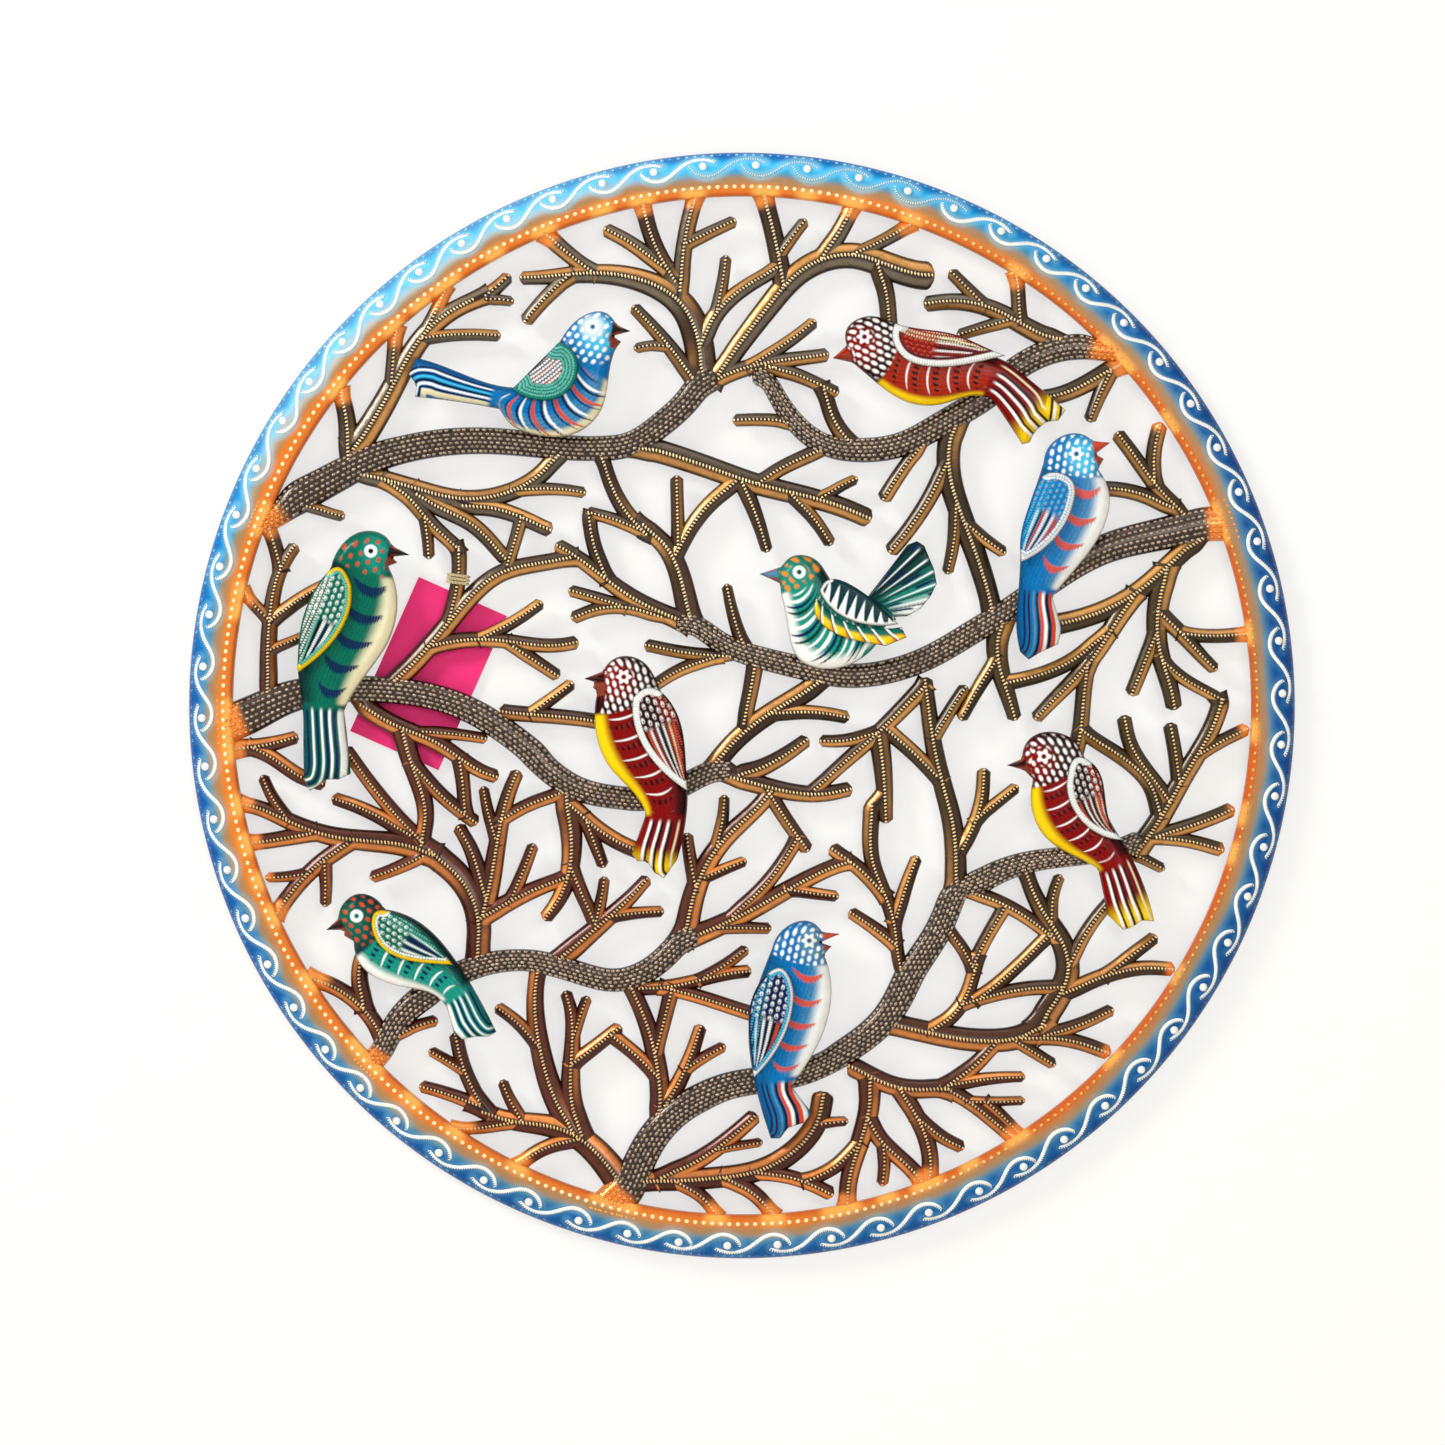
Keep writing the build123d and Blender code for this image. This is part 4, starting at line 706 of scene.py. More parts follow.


# The rim's colour at (angle, radius): orange inside, a smoky blend, then blue that darkens to the edge, partly
# painted shade where it rolls back, with a painted highlight on the upper left.
def rimPaint(angle, radius):
    place = around(angle, 1.0)
    left = ease(np.cos(np.radians(angle - 110)), 0.3, 0.95)        # towards the upper left
    # pale: a painted highlight on the rolled blue of the upper left, where the light falls; it whitens the smoky band
    # and the blue
    pale = ease(np.cos(np.radians(angle - 126)), 0.8, 1.0)
    right = ease(place[..., 0] - place[..., 1] * 0.2, 0.1, 1.0)
    shift = 2.4 * ease(-place[..., 0], 0.4, 1.0) - 2.6 * ease(place[..., 0] - 0.2 * place[..., 1], 0.3, 1.0)
    wave = 0.9 * np.sin(np.radians(angle * 9)) + 0.6 * np.sin(np.radians(angle * 23 + 40))
    within = radius + wave
    joint = np.broadcast_to(nearMeet(np.ravel(angle))[:, None], np.broadcast(angle, radius).shape)
    orange = mixed(mixed(rimLook["orange"], rimLook["orangeDeep"], right * 0.6), rimLook["orangeDeep"],
                   ease(-radius, -271.5, -268.5) * 0.7 + 0 * angle)
    orange = mixed(orange, rimLook["orangeLight"], joint * ease(-radius, -277, -270))
    blue = mixed(mixed(rimLook["cobalt"], rimLook["azure"], left), rimLook["navy"], right * 0.45)
    blue = mixed(blue, rimLook["cobalt"], ease(radius, 284, 290) * left)
    blue = mixed(blue, rimLook["low"], ease(-place[..., 1], 0.25, 0.85) * 0.75 + 0 * radius)
    # darker navy towards the outer edge, least on the upper left: partly navy paint, partly painted shade where the
    # rim rolls back
    blue = mixed(blue, rimLook["navy"], ease(radius, 285, 291.5) * (0.55 + 0.35 * right) * (1 - 0.6 * left))
    smoky = mixed(rimLook["blend"], rimLook["slate"], ease(within - shift, 276.5, 281))
    smoky = mixed(smoky, rimLook["white"], pale * ease(within, 276, 281) * 0.5)
    colour = mixed(orange, smoky, ease(within - shift, 271.8, 276.2))
    colour = mixed(colour, mixed(blue, rimLook["halo"], pale * 0.3), ease(within - shift, 278.2, 284.5))
    # a pale bloom of brushed paint follows the scrolls
    unit = 360 / rimLook["units"]
    fold = (np.broadcast_to(angle, colour.shape[:-1]) - rimLook["first"] + unit * 0.4) % unit - unit * 0.4
    perDegree = np.radians(rimLook["scrollRadius"])
    stroke = evenly(scroll * [perDegree, 1], 28)
    away = np.full(fold.shape, 1e3)
    for step in (-unit, 0, unit):
        for along, reach in stroke + [step * perDegree, 0]:
            away = np.minimum(away, np.hypot(fold * perDegree - along, radius - reach))
    return mixed(colour, rimLook["halo"], ease(-away, -4.2, -0.8) * (0.22 + 0.34 * left - 0.1 * right))


angles = np.arange(rimLook["columns"]) / rimLook["columns"] * 360
fine = np.linspace(0, 1, 34)
front = readAt(fine, np.linspace(0, 1, len(rimFront)), rimFront)
profile = np.vstack([front, rimBack])
outside = np.arange(len(profile)) < len(front)
hammer = 0.1 * np.sin(np.radians(angles * rimLook["units"]))[:, None]
depths = profile[:, 1] + hammer * ease(profile[:, 0], 278, 283) * ease(-profile[:, 0], -291.4, -289) * outside
skin = np.concatenate([around(angles[:, None], profile[None, :, 0]), depths[..., None]], axis=2)
skinPaint = rimPaint(angles[:, None], profile[None, :, 0]) * np.where(outside, 1, 0.25)[:, None]
rows, columns = skin.shape[:2]
quads = gridFaces(rows + 1, columns) % (rows * columns)
quads, _ = outwards(skin.reshape(-1, 3), quads, np.zeros((0, 3), int))
rimHeap = Heap()
rimHeap.add(skin.reshape(-1, 3), quads, np.zeros((0, 3), int), skinPaint.reshape(-1, 3))
rimHeap.make("rim", rimFinish, slot="panel")

# two rows of beads, one on the orange band and one crimped along the outer edge
beadHeap = Heap()
for (radius, pitch, half), colour, sides, tall in ((rimLook["innerBead"], rimLook["cream"], 10, 0.8),
                                                   (rimLook["outerBead"], None, 8, 0.55)):
    turn = np.arange(0, 360, np.degrees(pitch / radius))
    spots = around(turn, radius)
    right = ease(spots[:, 0] / radius, 0.1, 0.7) if radius < 280 else np.zeros(len(turn))
    spots = spots * (1 - 0.007 * right)[:, None]
    if colour is None:
        # a lighter blue than the rim beside them: painted highlight on each crimp
        paint = rimPaint(turn[:, None], np.array([[radius - 2.5]]))[:, 0] * 1.5 + 0.005
    else:
        paint = mixed(colour, rimLook["orangeLight"], right * 0.8)
    addDomes(beadHeap, onRim(spots, radius, -0.15), leftOf(spots), half * (1.1 - 0.3 * right),
             half * (1 - 0.35 * right), tall, paint, sides=sides, shade=0.75)
feet = meets[meets[:, 1] > 1.2]
jointTurn = (feet[:, :1] + feet[:, 1:] * np.linspace(-1.1, 1.1, 7)).ravel()
for radius in rimLook["jointRows"]:
    spots = around(jointTurn, radius)
    addDomes(beadHeap, onRim(spots, radius, -0.1), leftOf(spots), 0.85, 0.75, 0.6, rimLook["orangeLight"], sides=6,
             shade=0.7)
beadHeap.make("rimBeads", rimFinish, slot="panel")

# white scrolls: a low round stroke carried along each line, toothed with dots; over the top only the dots show
scrollHeap, dotHeap = Heap(), Heap()
perDegree = np.radians(rimLook["scrollRadius"])
line = smoothed(evenly(scroll * [perDegree, 1], 40), 3)
for unit in range(rimLook["units"]):
    centre = unit * 360 / rimLook["units"] + rimLook["first"] + rng.normal(0, 0.12)
    path = around(centre + line[:, 0] / perDegree, line[:, 1] + rng.normal(0, 0.25))
    along = unitOf(np.gradient(path, axis=0))
    bare = -25 < path[20, 0] < 105 and path[20, 1] > 0
    boss = around(np.array([centre]), rimLook["bossRadius"])
    addDomes(dotHeap, onRim(boss, rimLook["bossRadius"], -0.2), along[:1], 2.35, 2.35, 1.5, rimLook["white"],
             sides=14, shade=0.92)
    if not bare:
        turn = np.linspace(0, 2 * np.pi, 8, endpoint=False)
        half = 0.9 * np.sqrt(np.clip(1 - np.linspace(-1, 1, len(path)) ** 8, 0.08, 1))
        sides = path[:, None] + leftOf(along)[:, None] * (half[:, None] * np.cos(turn))[..., None]
        height = rimHeight(sizeOf(path))[:, None] + 0.05 + 0.55 * np.sin(turn)
        scrollHeap.addSkin(np.concatenate([sides, height[..., None]], axis=2), rimLook["white"])
    dots = evenly(path, 36)
    radii, heading = sizeOf(dots), np.gradient(dots, axis=0)
    # over the top the bare punches are white: painted highlight where they catch the light, partly wear
    beside, lift, half, tone = (0.0, 0.0, 0.75, 0.9) if bare else (0.85, 0.1, 0.62, 1.0)
    addDomes(dotHeap, onRim(dots + unitOf(leftOf(heading)) * beside, radii, lift), heading, 0.42, half, 0.65,
             rimLook["white"] * tone, sides=6, shade=0.85)
scrollHeap.make("rimScrolls", featherFinish, slot="panel")
dotHeap.make("rimDots", featherFinish, slot="panel")


ink = {
    "black": paintOf(14, 18, 26), "white": paintOf(244, 246, 242), "cream": paintOf(238, 232, 196),
    "navy": paintOf(0, 38, 88), "blue": paintOf(0, 122, 182), "sky": paintOf(76, 192, 230),
    "steel": paintOf(92, 146, 176), "orange": paintOf(222, 84, 46), "red": paintOf(138, 8, 4),
    "maroon": paintOf(52, 2, 4), "rust": paintOf(164, 46, 18), "yellow": paintOf(250, 214, 20),
    "amber": paintOf(240, 150, 50), "coral": paintOf(214, 88, 56), "green": paintOf(0, 112, 92),
    "deepGreen": paintOf(0, 66, 64), "teal": paintOf(30, 152, 136), "aqua": paintOf(110, 200, 184),
    "horn": paintOf(46, 38, 34), "mouth": paintOf(190, 96, 74),
}

# One dictionary for each bird. Eye and beak tips are shares of its body's box; neck and tail are shares of its length
# from the head. A stripe is (across from -1 at the belly to 1 at the back, half width, colour).
blueTail = [(-0.86, 0.1, "white"), (-0.66, 0.09, "orange"), (-0.48, 0.08, "black"), (-0.3, 0.08, "white"),
            (-0.14, 0.07, "orange"), (0.02, 0.06, "black"), (0.2, 0.05, "steel"), (0.44, 0.05, "maroon"),
            (0.66, 0.05, "navy")]
creamTail = [(-0.75, 0.16, "cream"), (-0.5, 0.07, "navy"), (-0.3, 0.08, "white"), (-0.1, 0.07, "black"),
             (0.1, 0.07, "sky"), (0.28, 0.06, "navy"), (0.46, 0.06, "white"), (0.62, 0.06, "navy")]
greenTail = [(-0.8, 0.14, "white"), (-0.5, 0.07, "navy"), (-0.3, 0.06, "white"), (-0.12, 0.07, "navy"),
             (0.08, 0.05, "white"), (0.28, 0.06, "navy"), (0.48, 0.045, "white"), (0.72, 0.06, "navy")]
redTail = [(-0.6, 0.06, "white"), (-0.47, 0.05, "black"), (-0.2, 0.06, "white"), (-0.06, 0.06, "black"),
           (0.2, 0.06, "white"), (0.36, 0.06, "black"), (0.68, 0.045, "cream")]
plainBird = {"ring": "white", "petals": 0, "beak": "horn", "cheek": 0, "broken": False, "fringe": False,
             "tailStripes": [], "tailTip": None}
plainWing = {"rim": "white", "rows": 0, "beadPitch": 1.7, "middle": None, "patch": None, "stitch": None, "split": 0,
             "feathers": [], "lobes": 0, "slashes": 0}
birdLooks = {
    "blue_top_left_bird": {
        "cheek": 6.0, "crown": 21, "eye": (0.83, 0.868), "beaks": [(1.0, 0.841), (0.957, 0.758)],
        "belly": (0.55, -0.83), "neck": 0.2, "tail": 0.62, "head": "blue", "headLight": "sky", "dots": "white",
        "dotSize": (1.5, 1.05), "dotPitch": (4.4, 3.9), "back": "blue", "side": "blue", "edge": "cream",
        "edgeWidth": 0.16,
        "arcs": [("white", 0.1, 0.065), ("navy", 0.25, 0.06), ("orange", 0.6, 0.08), ("navy", 0.76, 0.04)],
        "arcPitch": 11.5, "arcSpan": (-1.05, 0.6), "arcBend": 6.0, "pupil": "steel", "tailStripes": creamTail,
        "tailBase": "blue",
        "wings": {"wing": {"base": "deepGreen", "rim": "teal", "rimWidth": 1.5, "rows": 4, "beads": "aqua",
                           "beadPitch": 1.75, "middle": ("white", "red", "navy")}}},
    "red_top_right_bird": {
        "beak": "rust", "crown": 24, "eye": (0.135, 0.83), "beaks": [(0.0, 0.671)], "belly": (-0.35, -0.94),
        "neck": 0.27, "tail": 0.66, "head": "maroon", "headLight": "red", "dots": "white", "dotSize": (1.75, 1.0),
        "dotPitch": (4.6, 3.4), "back": "maroon", "side": "rust", "edge": "yellow", "edgeWidth": 0.15,
        "arcs": [("white", 0.1, 0.05), ("maroon", 0.5, 0.15)], "arcPitch": 10.5, "arcSpan": (-0.75, 0.5),
        "arcBend": -3.0, "broken": True, "pupil": "red", "petals": 6, "tailStripes": redTail, "tailBase": "red",
        "tailTip": "yellow",
        "wings": {"wing": {"base": "red", "rimWidth": 3.4, "rows": 1, "beads": "black",
                           "patch": ("coral", "maroon"), "scale": (3.0, 2.4), "stitch": "cream", "split": 0.4,
                           "feathers": [(-0.46, 0.07, "white"), (-0.3, 0.09, "red"), (-0.1, 0.06, "white"),
                                        (0.06, 0.06, "black"), (0.2, 0.08, "red"), (0.34, 0.05, "white"),
                                        (0.5, 0.05, "black"), (0.62, 0.05, "cream")]}}},
    "blue_right_bird": {
        "beak": "coral", "crown": 21, "eye": (0.627, 0.905), "beaks": [(1.0, 0.958), (0.929, 0.891)],
        "belly": (0.94, -0.3), "neck": 0.24, "tail": 0.7, "head": "blue", "headLight": "sky", "dots": "white",
        "dotSize": (1.5, 1.0), "dotPitch": (4.3, 3.7), "back": "blue", "side": "blue", "edge": "white",
        "edgeWidth": 0.3,
        "arcs": [("coral", 0.16, 0.15)], "arcPitch": 14.0, "arcSpan": (-0.78, 0.25), "arcBend": 6.0, "fringe": True,
        "pupil": "blue", "petals": 6, "tailStripes": blueTail, "tailBase": "blue",
        "wings": {"wing": {"base": "blue", "rimWidth": 2.0, "rows": 1, "beads": "white", "beadPitch": 1.9,
                           "patch": ("sky", "orange"), "scale": (3.4, 3.0), "stitch": "sky", "split": 0.42,
                           "feathers": [(-0.5, 0.09, "coral"), (-0.3, 0.07, "white"), (-0.14, 0.05, "black"),
                                        (0.04, 0.08, "white"), (0.2, 0.06, "coral"), (0.36, 0.05, "black"),
                                        (0.52, 0.07, "white")]}}},
    "green_left_bird": {
        "crown": 18, "eye": (0.661, 0.92), "beaks": [(1.0, 0.907), (0.839, 0.878)], "belly": (0.94, -0.3),
        "neck": 0.2, "tail": 0.68, "head": "green", "headLight": "teal", "dots": "coral", "dotSize": (1.35, 1.0),
        "dotPitch": (5.8, 4.8), "back": "deepGreen", "side": "green", "edge": "cream", "edgeWidth": 0.3,
        "arcs": [("navy", 0.16, 0.19)], "arcPitch": 14.5, "arcSpan": (-0.75, 0.3), "arcBend": 6.0, "fringe": True,
        "pupil": "black", "tailStripes": greenTail, "tailBase": "green",
        "wings": {"wing": {"base": "green", "rim": "yellow", "rimWidth": 2.0, "rows": 1, "beads": "aqua",
                           "beadPitch": 1.8, "patch": ("white", "teal"), "scale": (3.8, 3.2), "stitch": "white",
                           "split": 0.48,
                           "feathers": [(-0.48, 0.09, "white"), (-0.28, 0.08, "navy"), (-0.08, 0.09, "white"),
                                        (0.1, 0.09, "black"), (0.3, 0.07, "aqua"), (0.48, 0.08, "black")]}}},
    "green_centre_bird": {
        "beak": "steel", "crown": 14, "eye": (0.29, 0.845), "beaks": [(0.0, 0.832), (0.042, 0.716)],
        "belly": (-0.55, -0.83), "neck": 0.3, "tail": 0.93, "head": "green", "headLight": "teal", "dots": "amber",
        "dotSize": (1.9, 1.3), "dotPitch": (4.8, 4.6), "back": "deepGreen", "side": "teal", "edge": "white",
        "edgeWidth": 0.26,
        "arcs": [("white", 0.1, 0.08), ("navy", 0.34, 0.07), ("deepGreen", 0.58, 0.07), ("white", 0.8, 0.05)],
        "arcPitch": 11.5, "arcSpan": (-0.95, 0.4), "arcBend": 5.0, "pupil": "green", "tailBase": "green",
        "wings": {"feathers": {"base": "green", "rim": "amber", "rimWidth": 0.6, "lobes": 7},
                  "covert": {"base": "deepGreen", "rimWidth": 1.7, "slashes": 5.2}}},
    "red_centre_bird": {
        "beak": "maroon", "crown": 24, "eye": (0.385, 0.905), "beaks": [(0.0, 0.897), (0.092, 0.863)],
        "belly": (-0.92, -0.38), "neck": 0.25, "tail": 0.73, "head": "maroon", "headLight": "red", "dots": "white",
        "dotSize": (1.8, 1.0), "dotPitch": (4.6, 3.4), "back": "maroon", "side": "red", "edge": "yellow",
        "edgeWidth": 0.24,
        "arcs": [("white", 0.12, 0.055), ("maroon", 0.5, 0.14)], "arcPitch": 11.0, "arcSpan": (-0.65, 0.45),
        "arcBend": 2.5, "broken": True, "pupil": "red", "petals": 6, "tailStripes": redTail, "tailBase": "red",
        "tailTip": "yellow",
        "wings": {"wing": {"base": "maroon", "rimWidth": 3.6, "patch": ("white", "red"), "scale": (4.6, 3.2),
                           "stitch": "coral", "split": 0.36,
                           "feathers": [(-0.5, 0.06, "coral"), (-0.36, 0.06, "white"), (-0.22, 0.07, "red"),
                                        (-0.06, 0.05, "white"), (0.08, 0.06, "black"), (0.22, 0.05, "white"),
                                        (0.36, 0.05, "red"), (0.5, 0.05, "cream"), (0.66, 0.04, "coral")]}}},
    "red_right_bird": {
        "beak": "maroon", "crown": 23, "eye": (0.245, 0.875), "beaks": [(0.0, 0.83), (0.077, 0.796)],
        "belly": (-0.8, -0.6), "neck": 0.27, "tail": 0.7, "head": "maroon", "headLight": "red", "dots": "white",
        "dotSize": (1.7, 0.95), "dotPitch": (4.6, 3.5), "back": "maroon", "side": "red", "edge": "yellow",
        "edgeWidth": 0.24,
        "arcs": [("white", 0.12, 0.06), ("maroon", 0.5, 0.13)], "arcPitch": 9.2, "arcSpan": (-0.65, 0.4),
        "arcBend": 2.0, "broken": True, "pupil": "red", "petals": 5, "tailStripes": redTail, "tailBase": "red",
        "tailTip": "yellow",
        "wings": {"wing": {"base": "maroon", "rimWidth": 3.2, "patch": ("white", "maroon"), "scale": (4.2, 3.0),
                           "stitch": "coral", "split": 0.4,
                           "feathers": [(-0.5, 0.06, "coral"), (-0.36, 0.06, "black"), (-0.2, 0.06, "white"),
                                        (-0.04, 0.06, "red"), (0.12, 0.05, "white"), (0.28, 0.06, "black"),
                                        (0.44, 0.05, "cream"), (0.6, 0.05, "coral"), (0.74, 0.04, "white")]}}},
    "green_lower_left_bird": {
        "crown": 17, "eye": (0.185, 0.85), "beaks": [(0.0, 0.75), (0.106, 0.717)], "belly": (-0.62, -0.78),
        "neck": 0.27, "tail": 0.72, "head": "deepGreen", "headLight": "green", "dots": "coral",
        "dotSize": (1.4, 1.05), "dotPitch": (4.6, 4.0), "back": "deepGreen", "side": "teal", "edge": "white",
        "edgeWidth": 0.22,
        "arcs": [("white", 0.1, 0.07), ("navy", 0.5, 0.17)], "arcPitch": 9.4, "arcSpan": (-0.7, 0.3),
        "arcBend": -1.5, "broken": True, "pupil": "teal", "tailStripes": greenTail, "tailBase": "teal",
        "wings": {"wing": {"base": "green", "rim": "yellow", "rimWidth": 2.0, "rows": 1, "beads": "white",
                           "patch": ("white", "navy"), "scale": (3.6, 3.1), "stitch": "aqua", "split": 0.42,
                           "feathers": [(-0.48, 0.08, "white"), (-0.26, 0.08, "navy"), (-0.06, 0.07, "white"),
                                        (0.2, 0.14, "navy"), (0.46, 0.06, "white")]}}},
    "blue_bottom_bird": {
        "beak": "coral", "crown": 22, "eye": (0.66, 0.91), "beaks": [(1.0, 0.939), (0.907, 0.886)],
        "belly": (0.96, -0.25), "neck": 0.25, "tail": 0.73, "head": "blue", "headLight": "steel", "dots": "white",
        "dotSize": (1.6, 1.0), "dotPitch": (4.3, 3.6), "back": "blue", "side": "blue", "edge": "white",
        "edgeWidth": 0.3,
        "arcs": [("coral", 0.16, 0.14)], "arcPitch": 12.5, "arcSpan": (-0.78, 0.25), "arcBend": 5.0, "fringe": True,
        "pupil": "steel", "petals": 6, "tailStripes": blueTail, "tailBase": "blue",
        "wings": {"wing": {"base": "navy", "rimWidth": 1.7, "rows": 1, "beads": "sky", "beadPitch": 1.8,
                           "patch": ("white", "navy"), "scale": (3.9, 3.4), "stitch": "sky", "split": 0.46,
                           "feathers": [(-0.5, 0.1, "coral"), (-0.3, 0.07, "black"), (-0.12, 0.08, "white"),
                                        (0.06, 0.06, "navy"), (0.22, 0.07, "white"), (0.4, 0.06, "black"),
                                        (0.58, 0.06, "white")]}}},
}
deepest = -cadBox[0][1] / metre - 0.1      # just inside the front of the frame
paintStep = 0.5          # from point to point over a painted surface


# The distance of each place from a closed line, and whether it lies inside: an odd count of crossings to its right.
def within(ring, places):
    along = np.roll(ring, -1, axis=0) - ring
    size = (along ** 2).sum(axis=1)
    rise = np.where(np.abs(along[:, 1]) < 1e-9, 1e-9, along[:, 1])
    away, inside = np.empty(len(places)), np.empty(len(places), bool)
    for part in np.array_split(np.arange(len(places)), len(places) // 1500 + 1):
        gap = places[part][:, None] - ring
        share = np.clip((gap * along).sum(axis=2) / size, 0, 1)
        away[part] = sizeOf(gap - along * share[..., None]).min(axis=1)
        crossing = (gap[..., 1] < 0) != (gap[..., 1] < along[:, 1])
        inside[part] = (crossing & (gap[..., 0] < gap[..., 1] * along[:, 0] / rise)).sum(axis=1) % 2 == 1
    return away, inside


# Triangles over everything inside an outline, on a staggered grid: places, triangles, distance from the
# outline. The outline's own places come first.
def filled(outline, spacing):
    ring = evenly(outline, int(lengthOf(outline) / spacing), closed=True)
    low, high = ring.min(axis=0), ring.max(axis=0)
    x, z = np.meshgrid(np.arange(low[0], high[0], spacing), np.arange(low[1], high[1], spacing * 0.87))
    x = x + (np.arange(len(x)) % 2 * spacing / 2)[:, None]
    grid = np.column_stack([x.ravel(), z.ravel()])
    away, inside = within(ring[::2], grid)
    chosen = inside & (away > spacing * 0.5)
    places = np.vstack([ring, grid[chosen]])
    edges = np.column_stack([np.arange(len(ring)), np.roll(np.arange(len(ring)), -1)])
    made = delaunay_2d_cdt([Vector(place) for place in places.tolist()], edges.tolist(), [], 1, 1e-7)
    order = np.array([sources[0] for sources in made[3]])
    return places, order[np.array(made[2])], np.concatenate([np.zeros(len(ring)), away[chosen]]), len(ring)


# Flat triangles turned anticlockwise, or clockwise: their doubled areas add up to more than nothing, or to less.
def turned(places, triangles, anticlockwise):
    a, b, c = (places[triangles[:, corner]] for corner in range(3))
    return triangles if (np.cross(b - a, c - a).sum() > 0) == anticlockwise else triangles[:, ::-1]


# A closed shell over an outline: the front rises by front(distance from the outline), the back is a
# coarser sheet a little behind it, and a band joins their edges.
def shell(heap, outline, front, back, paint):
    places, triangles, away, ringSize = filled(outline, paintStep)
    upper, colour = paint(places, away)
    points = np.column_stack([places, np.minimum(front(away) + upper, deepest)])
    rearPlaces, rearTriangles, rearAway, rearSize = filled(evenly(outline, ringSize, closed=True), paintStep * 4)
    rear = np.column_stack([rearPlaces, np.maximum(back, front(rearAway) - 1.3)])
    # the band runs from the fine ring to the coarse one, at matching shares of the way round
    ring = np.arange(ringSize)
    match = ring * rearSize // ringSize % rearSize + len(points)
    following, beside = np.roll(match, -1), np.roll(ring, -1)
    sides = np.vstack([np.column_stack([ring, match, beside]),
                       np.column_stack([match, following, beside])[following != match]])
    sides = sides if ringTurn(places[:ringSize]) > 0 else sides[:, ::-1]
    rearFaces = turned(rearPlaces, rearTriangles, False) + len(points)
    rearPaint = np.broadcast_to(ink["black"] * 1.2, (len(rear), 3))
    heap.add(np.vstack([points, rear]), [], np.vstack([turned(places, triangles, True), rearFaces, sides]),
             np.vstack([colour, rearPaint]))


# Twice a ring's area, positive when it runs anticlockwise.
def ringTurn(ring):
    other = np.roll(ring, -1, axis=0)
    return (ring[:, 0] * other[:, 1] - ring[:, 1] * other[:, 0]).sum()


# A lattice of soft-edged spots, every other row shifted by half a pitch.
def spotted(u, v, pitch, size, soft=0.35):
    row = np.round(v / pitch[1])
    shift = 0.5 * (row % 2)
    du = u - (np.round(u / pitch[0] - shift) + shift) * pitch[0]
    dv = v - row * pitch[1]
    return ease(1 - np.hypot(du / size[0], dv / size[1]), -soft, soft)


# Coordinates over a long shape from the curve along its middle: distance from its first end, offset from the
# curve towards the back, and that offset as a share of the shape's half width there.
def lengthwise(outline, places, headSpot, bellyWay, degree=5):
    line, _ = foldOutline(outline, 200)
    if sizeOf(line[-1] - headSpot) < sizeOf(line[0] - headSpot):
        line = line[::-1]
    at = np.linspace(-1, 1, len(line))
    line = evenly(np.column_stack([np.polyval(np.polyfit(at, column, degree), at) for column in line.T]), 160)
    along = unitOf(np.gradient(line, axis=0))
    normal = leftOf(along)
    normal = -normal * np.sign((normal * np.array(bellyWay)).sum(axis=1).mean())
    nearest = ((places[:, None] - line[None]) ** 2).sum(axis=2).argmin(axis=1)
    gap = places - line[nearest]
    total = lengthOf(line)
    run = nearest / (len(line) - 1) * total + (gap * along[nearest]).sum(axis=1)
    offset = (gap * normal[nearest]).sum(axis=1)
    bins = np.clip((run / total * 40).astype(int), 0, 39)
    low, high = np.full(40, 1e3), np.full(40, -1e3)
    np.minimum.at(low, bins, offset)
    np.maximum.at(high, bins, offset)
    low, high = smoothed(np.where(low > 900, -1, low), 3), smoothed(np.where(high < -900, 1, high), 3)
    low[36:], high[36:] = low[35], high[35]
    centre = np.arange(40) + 0.5
    low, high = np.interp(run / total * 40, centre, low), np.interp(run / total * 40, centre, high)
    share = (offset - (low + high) / 2) / np.maximum((high - low) / 2, 0.5)
    return run, offset, np.clip(share, -1.1, 1.1), total


# 1 within half of the centre and 0 beyond, with a soft edge.
def stripe(share, centre, half):
    return ease(half - np.abs(share - centre), -0.03, 0.03)


